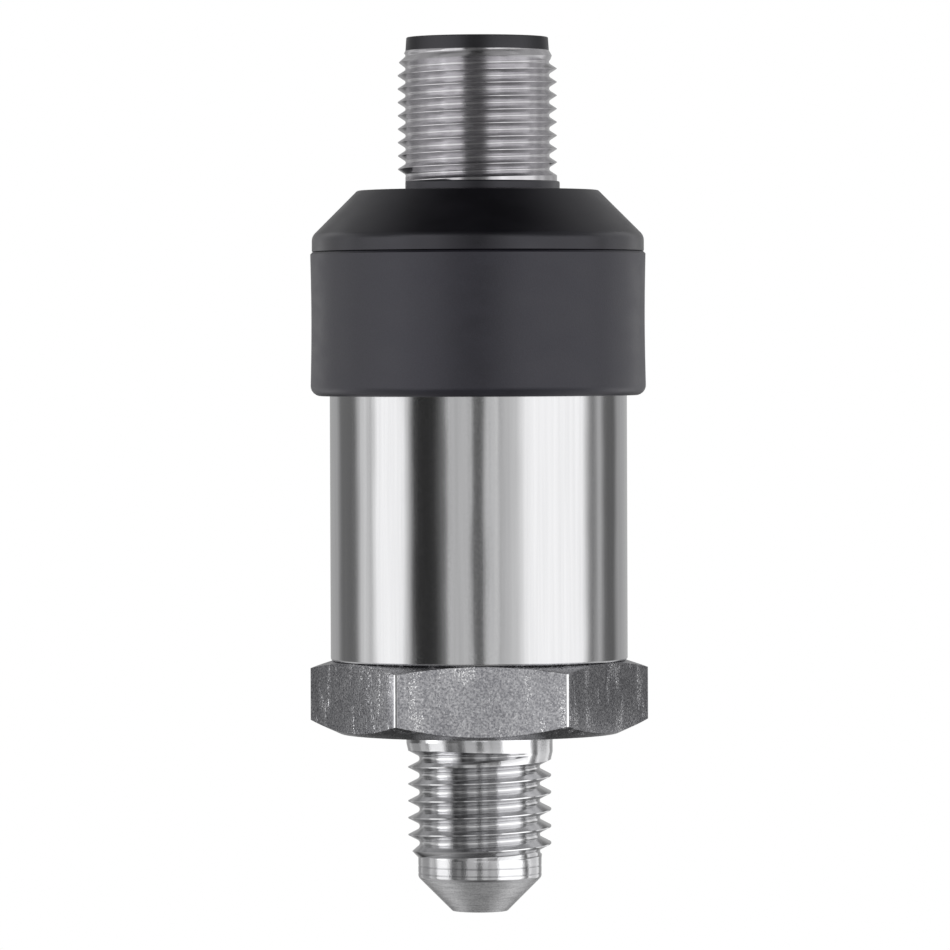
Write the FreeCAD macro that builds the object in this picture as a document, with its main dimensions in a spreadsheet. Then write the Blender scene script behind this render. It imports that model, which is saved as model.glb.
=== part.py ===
import FreeCAD, Part
import os

import Sketcher

# Pressure transmitter with a flared male fitting below and a four-pin round plug on top.
# The axis stands along Z, and the origin lies on it at the underside of the wrench hexagon.

SIZES = [
    # Process connection, turned from hexagon bar
    ("hex_across_flats", "22.0"),
    ("hex_height", "5.45"),
    ("hex_top_inset", "0.1"),
    ("hex_top_slope", "18.5"),
    ("hex_bottom_inset", "0.55"),
    ("hex_bottom_slope", "24.5"),
    ("thread_diameter", "11.0"),
    ("thread_length", "8.8"),
    ("runout_length", "0.7"),
    ("pilot_diameter", "9.24"),
    ("nose_face_diameter", "4.16"),
    ("nose_slope", "45.0"),
    ("stem_length", "13.36"),
    ("port_diameter", "3.0"),
    ("spigot_height", "2.0"),
    ("boss_diameter", "12.0"),
    ("boss_height", "1.0"),
    # Clearance on the radius of pieces that slide into each other
    ("fit_clearance", "0.05"),
    # Measuring cell and what sits round it
    ("cell_diameter", "10.0"),
    ("cell_height", "4.0"),
    ("cell_flange_height", "1.0"),
    ("cell_bore", "5.0"),
    ("diaphragm_thickness", "0.4"),
    ("chip_side", "2.4"),
    ("chip_thickness", "0.3"),
    ("lead_width", "0.3"),
    ("lead_thickness", "0.1"),
    ("lead_rise", "0.4"),
    ("lead_foot", "0.5"),
    ("lead_inset", "0.3"),
    ("lead_count", "4"),
    ("cell_ring_height", "2.35"),
    ("contact_board_thickness", "0.8"),
    # Carrier and main board
    ("carrier_ring_height", "5.7"),
    ("carrier_floor", "2.0"),
    ("carrier_wall", "2.15"),
    ("carrier_post_width", "5.0"),
    ("slot_wall", "0.9"),
    ("board_thickness", "1.0"),
    ("board_offset", "2.5"),
    ("board_headroom", "0.5"),
    ("board_corner", "1.0"),
    ("flex_width", "5.0"),
    ("flex_thickness", "0.2"),
    ("flex_overlap", "2.0"),
    ("flex_climb", "3.0"),
    ("signal_chip_side", "5.0"),
    ("signal_chip_thickness", "0.9"),
    ("signal_chip_centre", "9.5"),
    ("output_chip_width", "3.9"),
    ("output_chip_length", "4.9"),
    ("output_chip_thickness", "1.4"),
    ("output_chip_centre", "3.6"),
    ("output_leg_reach", "1.0"),
    ("output_leg_width", "0.4"),
    ("output_leg_pitch", "1.27"),
    ("output_leg_count", "4"),
    ("capacitor_length", "2.0"),
    ("capacitor_width", "1.25"),
    ("capacitor_thickness", "1.2"),
    ("capacitor_pitch", "2.2"),
    ("capacitor_count", "4"),
    ("resistor_length", "1.6"),
    ("resistor_width", "0.8"),
    ("resistor_thickness", "0.45"),
    ("resistor_pitch", "1.6"),
    ("resistor_count", "5"),
    ("small_part_offset", "4.6"),
    ("diode_length", "4.3"),
    ("diode_width", "2.6"),
    ("diode_thickness", "2.2"),
    ("diode_spacing", "9.6"),
    ("diode_drop", "1.2"),
    ("socket_width", "8.8"),
    ("socket_depth", "2.5"),
    ("socket_height", "4.0"),
    ("link_diameter", "0.5"),
    ("link_pitch", "2.0"),
    ("link_count", "4"),
    ("link_grip", "2.5"),
    # Case tube, which stands just proud of the hexagon's flats
    ("case_overhang", "0.125"),
    ("case_wall", "0.6"),
    ("case_shown", "19.8"),
    ("case_foot_round", "0.2"),
    ("lip_thickness", "0.6"),
    ("lip_reach", "0.55"),
    # Ring round the top of the case
    ("ring_wall", "1.375"),
    ("ring_height", "10.75"),
    ("ring_foot_round", "0.75"),
    ("ring_edge", "0.15"),
    ("shoulder_height", "3.0"),
    ("shoulder_wall", "2.25"),
    ("case_seal_section", "0.8"),
    ("case_seal_drop", "4.0"),
    ("seal_room", "0.1"),
    # Head cap
    ("cap_step", "0.12"),
    ("cap_wall_height", "1.19"),
    ("cap_height", "4.6"),
    ("cap_slope", "45.0"),
    ("cap_edge", "0.08"),
    ("cap_shoulder_round", "0.83"),
    ("cap_top_round", "0.25"),
    ("collar_diameter", "12.3"),
    ("collar_height", "0.67"),
    ("collar_flat", "5.4"),
    ("plug_wall", "1.35"),
    ("hook_reach", "0.35"),
    ("hook_height", "0.9"),
    ("hook_foot", "0.3"),
    ("roof_height", "1.0"),
    ("cap_seal_section", "1.1"),
    # Threaded connector sleeve
    ("sleeve_diameter", "11.9"),
    ("sleeve_bore", "9.4"),
    ("sleeve_length", "9.78"),
    ("sleeve_edge_width", "0.57"),
    ("sleeve_edge_height", "1.05"),
    ("sleeve_neck_diameter", "10.2"),
    ("sleeve_flange_diameter", "14.0"),
    ("sleeve_flange_height", "1.5"),
    ("sleeve_seal_section", "0.8"),
    ("sleeve_seal_drop", "1.6"),
    # Connector insert with its pins
    ("rim_height", "1.0"),
    ("rim_foot_diameter", "10.74"),
    ("rim_top_diameter", "10.6"),
    ("rim_round", "0.12"),
    ("cavity_diameter", "8.5"),
    ("cavity_depth", "8.8"),
    ("insert_bead_reach", "0.2"),
    ("insert_bead_height", "0.6"),
    ("key_width", "2.0"),
    ("key_reach", "0.75"),
    ("key_drop", "0.6"),
    ("pin_diameter", "1.0"),
    ("pin_circle", "5.0"),
    ("pin_count", "4"),
    ("pin_drop", "1.1"),
    ("pin_taper", "0.5"),
    ("pin_tip_diameter", "0.5"),
    ("pin_collar_diameter", "1.5"),
    ("pin_collar_height", "0.6"),
    ("pin_tail_diameter", "0.6"),
    ("pin_tail_reach", "0.6"),
    ("connector_board_diameter", "14.0"),
    ("connector_board_thickness", "0.8"),
]

# Heights above the underside of the hexagon, from the nose up to the rim of the connector
LEVELS = [
    ("stem_end", "-Size.stem_length"),
    ("thread_end", "-Size.thread_length"),
    ("pilot_start", "Level.thread_end - Size.runout_length"),
    ("pilot_end", "Level.stem_end + (Size.pilot_diameter - Size.nose_face_diameter) / 2"
                  " / tan(Size.nose_slope * 1deg)"),
    ("hex_top", "Size.hex_height"),
    ("spigot_top", "Level.hex_top + Size.spigot_height"),
    ("boss_top", "Level.spigot_top + Size.boss_height"),
    ("cell_flange_top", "Level.boss_top + Size.cell_flange_height"),
    ("cell_top", "Level.boss_top + Size.cell_height"),
    ("chip_top", "Level.cell_top + Size.chip_thickness"),
    ("cell_ring_top", "Level.cell_flange_top + Size.cell_ring_height"),
    ("contact_board_top", "Level.cell_ring_top + Size.contact_board_thickness"),
    ("carrier_ring_top", "Level.spigot_top + Size.carrier_ring_height"),
    ("board_foot", "Level.carrier_ring_top + Size.carrier_floor"),
    ("ring_foot", "Level.hex_top + Size.case_shown"),
    ("ring_top", "Level.ring_foot + Size.ring_height"),
    ("case_top", "Level.ring_top - Size.shoulder_height"),
    ("hook_top", "Level.case_top - Size.lip_thickness - Size.fit_clearance"),
    ("plug_foot", "Level.hook_top - Size.hook_height - Size.hook_foot"),
    ("board_top", "Level.plug_foot - Size.board_headroom"),
    ("roof", "Level.ring_top + Size.roof_height"),
    ("pocket_top", "Level.roof + Size.sleeve_flange_height"),
    ("cap_top", "Level.ring_top + Size.cap_height"),
    ("collar_top", "Level.cap_top + Size.collar_height"),
    ("sleeve_top", "Level.collar_top + Size.sleeve_length"),
    ("rim_top", "Level.sleeve_top + Size.rim_height"),
    ("cavity_floor", "Level.rim_top - Size.cavity_depth"),
    ("pin_tip", "Level.rim_top - Size.pin_drop"),
    ("connector_board_foot", "Level.ring_top - Size.connector_board_thickness"),
    ("case_seal", "Level.case_top - Size.case_seal_drop"),
    ("cap_seal", "Level.ring_top - Size.shoulder_height / 2"),
    ("sleeve_seal", "Level.collar_top - Size.sleeve_seal_drop"),
]

# Distances from the axis
RADII = [
    ("hex_corner", "Size.hex_across_flats / sqrt(3)"),
    ("hex_top_face", "Size.hex_across_flats / 2 - Size.hex_top_inset"),
    ("hex_bottom_face", "Size.hex_across_flats / 2 - Size.hex_bottom_inset"),
    ("case", "Size.hex_across_flats / 2 + Size.case_overhang"),
    ("case_bore", "Radius.case - Size.case_wall"),
    ("spigot", "Radius.case_bore - Size.fit_clearance"),
    ("lip", "Radius.case_bore - Size.lip_reach"),
    ("cell", "Size.cell_diameter / 2"),
    ("carrier", "Radius.case_bore - 2 * Size.fit_clearance"),
    ("carrier_bore", "Radius.carrier - Size.carrier_wall"),
    ("cell_ring", "Radius.carrier_bore - 4 * Size.fit_clearance"),
    ("board_edge", "sqrt(pow(Radius.carrier; 2) - pow(Size.board_offset + Size.board_thickness; 2))"
                   " - Size.slot_wall"),
    ("ring_bore", "Radius.case + Size.fit_clearance"),
    ("ring", "Radius.ring_bore + Size.ring_wall"),
    ("shoulder_bore", "Radius.ring - Size.shoulder_wall"),
    ("case_seal_groove", "Radius.case + Size.case_seal_section"),
    ("plug", "Radius.lip - Size.fit_clearance"),
    ("plug_bore", "Radius.plug - Size.plug_wall"),
    ("hook", "Radius.plug + Size.hook_reach"),
    ("cap_seal_groove", "Radius.shoulder_bore - Size.cap_seal_section"),
    ("cap", "Radius.ring - Size.cap_step"),
    ("cap_top", "Radius.cap - (Size.cap_height - Size.cap_wall_height) / tan(Size.cap_slope * 1deg)"),
    ("sleeve", "Size.sleeve_diameter / 2"),
    ("sleeve_bore", "Size.sleeve_bore / 2"),
    ("sleeve_neck", "Size.sleeve_neck_diameter / 2"),
    ("sleeve_hole", "Radius.sleeve_neck + Size.fit_clearance"),
    ("sleeve_flange", "Size.sleeve_flange_diameter / 2"),
    ("sleeve_pocket", "Radius.sleeve_flange + Size.fit_clearance"),
    ("sleeve_seal_groove", "Radius.sleeve_neck + Size.sleeve_seal_section"),
    ("insert", "Radius.sleeve_bore - Size.fit_clearance"),
    ("insert_bead", "Radius.insert + Size.insert_bead_reach"),
    ("cavity", "Size.cavity_diameter / 2"),
    ("pin", "Size.pin_diameter / 2"),
    ("pin_row", "Size.pin_circle / 2"),
    ("pin_collar", "Size.pin_collar_diameter / 2"),
    ("pin_tail", "Size.pin_tail_diameter / 2"),
    ("link", "Size.link_diameter / 2"),
]

# Depths of the faces that lie square to Y, towards the back for positive ones
DEPTHS = [
    ("board_front", "-Size.board_offset - Size.board_thickness / 2"),
    ("board_back", "-Size.board_offset + Size.board_thickness / 2"),
    ("socket_front", "Depth.board_front - Size.socket_depth"),
    ("link_row", "Depth.board_front - Size.socket_depth / 2"),
]


doc = FreeCAD.newDocument("pressure_transmitter")

sheet = doc.addObject("Spreadsheet::Sheet", "Size")
for row, (alias, number) in enumerate(SIZES, start=1):
    sheet.set(f"A{row}", alias)
    sheet.set(f"B{row}", number)
    sheet.setAlias(f"B{row}", alias)

for group, formulas in (("Radius", RADII), ("Level", LEVELS), ("Depth", DEPTHS)):
    names = doc.addObject("App::VarSet", group)
    for name, formula in formulas:
        names.addProperty("App::PropertyFloat", name)
        names.setExpression(name, formula)
doc.recompute()


def value(formula):
    """The number that a formula of the sheet's sizes gives."""
    return float(sheet.evalExpression(formula))


def new_piece(name):
    """An empty body whose label is the name of the piece."""
    piece = doc.addObject("PartDesign::Body", name)
    piece.Label = name
    return piece


def new_sketch(piece, name, plane, offset="0"):
    """A sketch on one of the piece's own origin planes, moved along the plane's normal."""
    sketch = piece.newObject("Sketcher::SketchObject", name)
    support = [face for face in piece.Origin.OriginFeatures if face.Role == plane][0]
    sketch.AttachmentSupport = [(support, "")]
    sketch.MapMode = "FlatFace"
    sketch.setExpression("AttachmentOffset.Base.z", offset)
    return sketch


def pin_point(sketch, shape, end, across, along):
    """Ties one point of a sketch to two formulas, measured from the sketch's origin."""
    for kind, formula in (("DistanceX", across), ("DistanceY", along)):
        tie = Sketcher.Constraint(kind, -1, 1, shape, end, value(formula))
        sketch.setExpression(f"Constraints[{sketch.addConstraint(tie)}]", formula)


def draw_outline(sketch, corners):
    """A closed outline of straight lines through corners that are pairs of formulas."""
    first = len(sketch.Geometry)
    count = len(corners)
    spots = [FreeCAD.Vector(value(across), value(along), 0) for across, along in corners]
    for number in range(count):
        sketch.addGeometry(Part.LineSegment(spots[number], spots[(number + 1) % count]))
    for number in range(count):
        following = first + (number + 1) % count
        sketch.addConstraint(Sketcher.Constraint("Coincident", first + number, 2, following, 1))
    for number, (across, along) in enumerate(corners):
        pin_point(sketch, first + number, 1, across, along)


def draw_circle(sketch, radius, across="0", along="0"):
    """A circle whose radius and centre are formulas."""
    centre = FreeCAD.Vector(value(across), value(along), 0)
    shape = sketch.addGeometry(Part.Circle(centre, FreeCAD.Vector(0, 0, 1), value(radius)))
    tie = Sketcher.Constraint("Radius", shape, value(radius))
    sketch.setExpression(f"Constraints[{sketch.addConstraint(tie)}]", radius)
    pin_point(sketch, shape, 3, across, along)


def draw_rectangle(sketch, left, right, low, high):
    """A rectangle between four formulas."""
    draw_outline(sketch, [(left, low), (right, low), (right, high), (left, high)])


def feature(piece, kind, name, sketch):
    """Adds one sketched feature to the piece."""
    step = piece.newObject(kind, name)
    step.Profile = sketch
    return step


def turn(piece, name, sketch, kind="PartDesign::Revolution"):
    """Turns a sketch of the XZ plane all the way round the Z axis."""
    step = feature(piece, kind, name, sketch)
    step.ReferenceAxis = (sketch, ["V_Axis"])
    step.Angle = 360
    doc.recompute()
    return step


def pad(piece, name, sketch, length, midplane=False):
    """Pads a sketch along its normal, or evenly to both sides of its plane."""
    step = feature(piece, "PartDesign::Pad", name, sketch)
    step.setExpression("Length", length)
    step.Midplane = midplane
    doc.recompute()
    return step


def pocket(piece, name, sketch, length, reverse=True):
    """Cuts a sketch into the piece, along the sketch's normal when reverse is set."""
    volume_before = piece.Shape.Volume
    step = feature(piece, "PartDesign::Pocket", name, sketch)
    step.setExpression("Length", length)
    step.Reversed = reverse
    doc.recompute()
    if piece.Shape.Volume >= volume_before:
        raise RuntimeError(f"{name} cuts nothing out of {piece.Label}")
    return step


def repeat_round(piece, name, step, sketch, count):
    """Repeats a feature evenly round the normal of its sketch."""
    pattern = piece.newObject("PartDesign::PolarPattern", name)
    pattern.Originals = [step]
    pattern.Axis = (sketch, ["N_Axis"])
    pattern.Angle = 360
    pattern.setExpression("Occurrences", count)
    piece.Tip = pattern
    doc.recompute()
    return pattern


def repeat_along(piece, name, step, sketch, axis, pitch, count):
    """Repeats a feature in a straight row along an axis of its sketch."""
    pattern = piece.newObject("PartDesign::LinearPattern", name)
    pattern.Originals = [step]
    pattern.Direction = (sketch, [axis])
    pattern.setExpression("Length", f"{pitch} * ({count} - 1)")
    pattern.setExpression("Occurrences", count)
    piece.Tip = pattern
    doc.recompute()
    return pattern


# How near two places must be, in mm, to count as one
SAME_PLACE = 0.001


def rim_edges(step, radius, level):
    """Names of the round edges at this distance from the axis and this height."""
    names = []
    for number, edge in enumerate(step.Shape.Edges, start=1):
        if isinstance(edge.Curve, Part.Circle):
            off_radius = abs(edge.Curve.Radius - value(radius))
            off_level = abs(edge.Curve.Center.z - value(level))
            if max(off_radius, off_level) < SAME_PLACE:
                names.append(f"Edge{number}")
    if not names:
        raise RuntimeError(f"{step.Name} has no edge at {radius}, {level}")
    return names


def round_rim(piece, name, step, radius, level, size):
    """Rounds the edges that run round the axis at this radius and height."""
    rounding = piece.newObject("PartDesign::Fillet", name)
    rounding.Base = (step, rim_edges(step, radius, level))
    rounding.setExpression("Radius", size)
    doc.recompute()
    return rounding


def bevel_rim(piece, name, step, radius, level, size):
    """Breaks the edges that run round the axis at this radius and height."""
    bevel = piece.newObject("PartDesign::Chamfer", name)
    bevel.Base = (step, rim_edges(step, radius, level))
    bevel.setExpression("Size", size)
    doc.recompute()
    return bevel


def make_process_connection():
    """Fitting, hexagon, case spigot and cell boss, turned from one bar and drilled through."""
    piece = new_piece("process_connection")

    bar = new_sketch(piece, "hexagon_outline", "XY_Plane")
    half_flat = "Size.hex_across_flats / 2"
    half_side = "(Radius.hex_corner / 2)"
    draw_outline(bar, [
        (f"-{half_side}", f"-{half_flat}"),
        (half_side, f"-{half_flat}"),
        ("Radius.hex_corner", "0"),
        (half_side, half_flat),
        (f"-{half_side}", half_flat),
        ("-Radius.hex_corner", "0"),
    ])
    pad(piece, "hexagon", bar, "Size.hex_height")

    chamfers = new_sketch(piece, "chamfer_outline", "XZ_Plane")
    past_corner = "(Radius.hex_corner + 1)"
    top_drop = f"({past_corner} - Radius.hex_top_face) * tan(Size.hex_top_slope * 1deg)"
    bottom_rise = f"({past_corner} - Radius.hex_bottom_face) * tan(Size.hex_bottom_slope * 1deg)"
    draw_outline(chamfers, [
        ("Radius.hex_top_face", "Level.hex_top"),
        (past_corner, f"Level.hex_top - {top_drop}"),
        (past_corner, "Level.hex_top"),
    ])
    draw_outline(chamfers, [
        ("Radius.hex_bottom_face", "0"),
        (past_corner, "0"),
        (past_corner, bottom_rise),
    ])
    turn(piece, "hexagon_chamfers", chamfers, "PartDesign::Groove")

    stem = new_sketch(piece, "stem_outline", "XZ_Plane")
    draw_outline(stem, [
        ("0", "0"),
        ("0", "Level.stem_end"),
        ("Size.nose_face_diameter / 2", "Level.stem_end"),
        ("Size.pilot_diameter / 2", "Level.pilot_end"),
        ("Size.pilot_diameter / 2", "Level.pilot_start"),
        ("Size.thread_diameter / 2", "Level.thread_end"),
        ("Size.thread_diameter / 2", "0"),
    ])
    turn(piece, "stem", stem)

    seat = new_sketch(piece, "seat_outline", "XZ_Plane")
    draw_outline(seat, [
        ("0", "Level.hex_top"),
        ("Radius.spigot", "Level.hex_top"),
        ("Radius.spigot", "Level.spigot_top"),
        ("Size.boss_diameter / 2", "Level.spigot_top"),
        ("Size.boss_diameter / 2", "Level.boss_top"),
        ("0", "Level.boss_top"),
    ])
    turn(piece, "seat", seat)

    port = new_sketch(piece, "port_outline", "XY_Plane", "Level.stem_end")
    draw_circle(port, "Size.port_diameter / 2")
    pocket(piece, "pressure_port", port, "Level.boss_top - Level.stem_end")
    return piece


def make_measuring_cell():
    """Steel cup welded on the boss, closed on top by the thin diaphragm."""
    piece = new_piece("measuring_cell")
    cup = new_sketch(piece, "cup_outline", "XZ_Plane")
    draw_outline(cup, [
        ("Size.cell_bore / 2", "Level.boss_top"),
        ("Size.boss_diameter / 2", "Level.boss_top"),
        ("Size.boss_diameter / 2", "Level.cell_flange_top"),
        ("Radius.cell", "Level.cell_flange_top"),
        ("Radius.cell", "Level.cell_top"),
        ("0", "Level.cell_top"),
        ("0", "Level.cell_top - Size.diaphragm_thickness"),
        ("Size.cell_bore / 2", "Level.cell_top - Size.diaphragm_thickness"),
    ])
    turn(piece, "cup", cup)
    return piece


def make_gauge_chip():
    """Strain gauge chip fused to the middle of the diaphragm."""
    piece = new_piece("gauge_chip")
    outline = new_sketch(piece, "chip_outline", "XY_Plane", "Level.cell_top")
    half = "Size.chip_side / 2"
    draw_rectangle(outline, f"-{half}", half, f"-{half}", half)
    pad(piece, "chip", outline, "Size.chip_thickness")
    return piece


def make_gauge_leads():
    """Thin bonded ribbons that arch from the chip's corners to the contact board."""
    piece = new_piece("gauge_leads")
    outline = new_sketch(piece, "ribbon_outline", "XZ_Plane")
    start = "(Size.chip_side / 2 - Size.lead_inset)"
    landing = "(Radius.cell + Size.fit_clearance + 2 * Size.lead_inset)"
    thick = "Size.lead_thickness"
    crest = "(Level.chip_top + Size.lead_rise)"
    draw_outline(outline, [
        (start, "Level.chip_top"),
        (f"{start} + Size.lead_foot", "Level.chip_top"),
        (f"{start} + 2 * Size.lead_foot", crest),
        (f"{landing} - 2 * Size.lead_foot", crest),
        (landing, "Level.contact_board_top"),
        (f"{landing} + Size.lead_foot", "Level.contact_board_top"),
        (f"{landing} + Size.lead_foot", f"Level.contact_board_top + {thick}"),
        (f"{landing} + {thick} / 2", f"Level.contact_board_top + {thick}"),
        (f"{landing} - 2 * Size.lead_foot + {thick} / 2", f"{crest} + {thick}"),
        (f"{start} + 2 * Size.lead_foot - {thick} / 2", f"{crest} + {thick}"),
        (f"{start} + Size.lead_foot - {thick} / 2", f"Level.chip_top + {thick}"),
        (start, f"Level.chip_top + {thick}"),
    ])
    ribbon = pad(piece, "ribbon", outline, "Size.lead_width", midplane=True)
    middle = new_sketch(piece, "ribbon_axis", "XY_Plane")
    repeat_round(piece, "ribbons", ribbon, middle, "Size.lead_count")
    piece.Placement = FreeCAD.Placement(FreeCAD.Vector(0, 0, 0), FreeCAD.Rotation(45, 0, 0))
    return piece


def make_ring(name, inner, outer, foot, top):
    """A plain ring between two radii and two heights."""
    piece = new_piece(name)
    outline = new_sketch(piece, "ring_outline", "XZ_Plane")
    draw_rectangle(outline, inner, outer, foot, top)
    turn(piece, "ring", outline)
    return piece


def make_sensor_flex():
    """Printed foil that climbs from the contact board to the front of the main board."""
    piece = new_piece("sensor_flex")
    outline = new_sketch(piece, "foil_outline", "YZ_Plane")
    thick = "Size.flex_thickness"
    edge = "-(Radius.cell_ring - Size.lead_inset)"
    bend = f"({edge} + Size.flex_overlap)"
    lift = "(Level.contact_board_top + Size.flex_thickness)"
    front = "Depth.board_front"
    draw_outline(outline, [
        (edge, "Level.contact_board_top"),
        (bend, "Level.contact_board_top"),
        (f"{front}", f"Level.board_foot - {thick}"),
        (front, "Level.board_foot + Size.flex_climb"),
        (f"{front} - {thick}", "Level.board_foot + Size.flex_climb"),
        (f"{front} - {thick}", "Level.board_foot"),
        (f"{bend} - {thick} / 2", lift),
        (edge, lift),
    ])
    pad(piece, "foil", outline, "Size.flex_width", midplane=True)
    return piece


def make_board_carrier():
    """Moulded ring on the spigot, with two grooved posts that hold the main board."""
    piece = new_piece("board_carrier")
    posts = new_sketch(piece, "post_outline", "XY_Plane", "Level.spigot_top")
    draw_circle(posts, "Radius.carrier")
    draw_circle(posts, "Radius.carrier_bore")
    pad(piece, "wall", posts, "Level.board_top - Level.spigot_top")

    half_post = "Size.carrier_post_width / 2"
    front = f"-Size.board_offset - {half_post}"
    back = f"-Size.board_offset + {half_post}"
    clear = "(Radius.carrier + 1)"
    windows = new_sketch(piece, "window_outline", "XY_Plane", "Level.carrier_ring_top")
    draw_rectangle(windows, f"-{clear}", clear, f"-{clear}", front)
    draw_rectangle(windows, f"-{clear}", clear, back, clear)
    pocket(piece, "windows", windows, "Level.board_top - Level.carrier_ring_top")

    slot = new_sketch(piece, "slot_outline", "XY_Plane", "Level.board_foot")
    half_gap = "(Size.board_thickness / 2 + Size.fit_clearance)"
    reach = "(Radius.board_edge + Size.fit_clearance)"
    draw_rectangle(slot, f"-{reach}", reach,
                   f"-Size.board_offset - {half_gap}", f"-Size.board_offset + {half_gap}")
    pocket(piece, "slots", slot, "Level.board_top - Level.board_foot")
    return piece


def make_main_board():
    """Upright circuit board, its top corners cut clear of the head."""
    piece = new_piece("main_board")
    outline = new_sketch(piece, "board_outline", "XZ_Plane", "Size.board_offset")
    edge = "Radius.board_edge"
    cut = "Size.board_corner"
    draw_outline(outline, [
        (f"-{edge}", "Level.board_foot"),
        (edge, "Level.board_foot"),
        (edge, f"Level.board_top - {cut}"),
        (f"{edge} - {cut}", "Level.board_top"),
        (f"-{edge} + {cut}", "Level.board_top"),
        (f"-{edge}", f"Level.board_top - {cut}"),
    ])
    pad(piece, "board", outline, "Size.board_thickness", midplane=True)
    return piece


def make_block_row(name, length, width, height, side, foot, pitch="0", count="1"):
    """Like blocks on the back of the main board, one above the other at an even pitch."""
    piece = new_piece(name)
    outline = new_sketch(piece, "block_outline", "XZ_Plane", "-(Depth.board_back)")
    draw_rectangle(outline, f"{side} - {length} / 2", f"{side} + {length} / 2",
                   foot, f"{foot} + {width}")
    block = feature(piece, "PartDesign::Pad", "block", outline)
    block.setExpression("Length", height)
    block.Reversed = True
    doc.recompute()
    if value(count) > 1:
        repeat_along(piece, "blocks", block, outline, "V_Axis", pitch, count)
    return piece


def make_output_chip():
    """Moulded output driver with a row of legs down each side."""
    piece = make_block_row("output_chip", "Size.output_chip_width", "Size.output_chip_length",
                           "Size.output_chip_thickness", "0",
                           "Level.board_foot + Size.output_chip_centre - Size.output_chip_length / 2")
    legs = new_sketch(piece, "leg_outline", "XZ_Plane", "-(Depth.board_back)")
    reach = "(Size.output_chip_width / 2 + Size.output_leg_reach)"
    row = "(Size.output_leg_pitch * (Size.output_leg_count - 1) / 2)"
    low = f"Level.board_foot + Size.output_chip_centre - {row} - Size.output_leg_width / 2"
    draw_rectangle(legs, f"-{reach}", reach, low, f"{low} + Size.output_leg_width")
    leg = feature(piece, "PartDesign::Pad", "leg", legs)
    leg.setExpression("Length", "Size.output_chip_thickness / 3")
    leg.Reversed = True
    doc.recompute()
    repeat_along(piece, "legs", leg, legs, "V_Axis", "Size.output_leg_pitch", "Size.output_leg_count")
    return piece


def make_surge_diodes():
    """Two surge diodes side by side near the top of the main board."""
    foot = "(Level.board_top - Size.diode_drop - Size.diode_width)"
    piece = new_piece("surge_diodes")
    outline = new_sketch(piece, "diode_outline", "XZ_Plane", "-(Depth.board_back)")
    left = "-Size.diode_spacing / 2 - Size.diode_length / 2"
    draw_rectangle(outline, left, f"{left} + Size.diode_length", foot, f"{foot} + Size.diode_width")
    diode = feature(piece, "PartDesign::Pad", "diode", outline)
    diode.setExpression("Length", "Size.diode_thickness")
    diode.Reversed = True
    doc.recompute()
    repeat_along(piece, "diodes", diode, outline, "H_Axis", "Size.diode_spacing", "2")
    return piece


def make_board_socket():
    """Socket strip on the front of the main board that takes the link pins."""
    piece = new_piece("board_socket")
    block = new_sketch(piece, "strip_outline", "XY_Plane", "Level.board_top - Size.socket_height")
    half = "Size.socket_width / 2"
    draw_rectangle(block, f"-{half}", half, "Depth.socket_front", "Depth.board_front")
    pad(piece, "strip", block, "Size.socket_height")
    holes = new_sketch(piece, "hole_outline", "XY_Plane", "Level.board_top - Size.link_grip")
    first = "-Size.link_pitch * (Size.link_count - 1) / 2"
    draw_circle(holes, "Radius.link", first, "Depth.link_row")
    hole = pocket(piece, "hole", holes, "Size.link_grip")
    repeat_along(piece, "holes", hole, holes, "H_Axis", "Size.link_pitch", "Size.link_count")
    return piece


def make_board_links():
    """Straight pins that join the connector board to the socket strip."""
    piece = new_piece("board_links")
    outline = new_sketch(piece, "link_outline", "XY_Plane", "Level.board_top - Size.link_grip")
    first = "-Size.link_pitch * (Size.link_count - 1) / 2"
    draw_circle(outline, "Radius.link", first, "Depth.link_row")
    link = pad(piece, "link", outline, "Level.ring_top - Level.board_top + Size.link_grip")
    repeat_along(piece, "links", link, outline, "H_Axis", "Size.link_pitch", "Size.link_count")
    return piece


def make_case_tube():
    """Drawn steel tube, welded to the hexagon and rolled inwards at its top."""
    piece = new_piece("case_tube")
    outline = new_sketch(piece, "tube_outline", "XZ_Plane")
    draw_outline(outline, [
        ("Radius.case_bore", "Level.hex_top"),
        ("Radius.case", "Level.hex_top"),
        ("Radius.case", "Level.case_top"),
        ("Radius.lip", "Level.case_top"),
        ("Radius.lip", "Level.case_top - Size.lip_thickness"),
        ("Radius.case_bore", "Level.case_top - Size.lip_thickness"),
    ])
    tube = turn(piece, "tube", outline)
    round_rim(piece, "weld_edge", tube, "Radius.case", "Level.hex_top", "Size.case_foot_round")
    return piece


def make_seal(name, inner, section, level):
    """A rubber ring of square section that fills its groove from an inner radius outwards."""
    return make_ring(name, inner, f"{inner} + {section}",
                     f"{level} - {section} / 2", f"{level} + {section} / 2")


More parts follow.
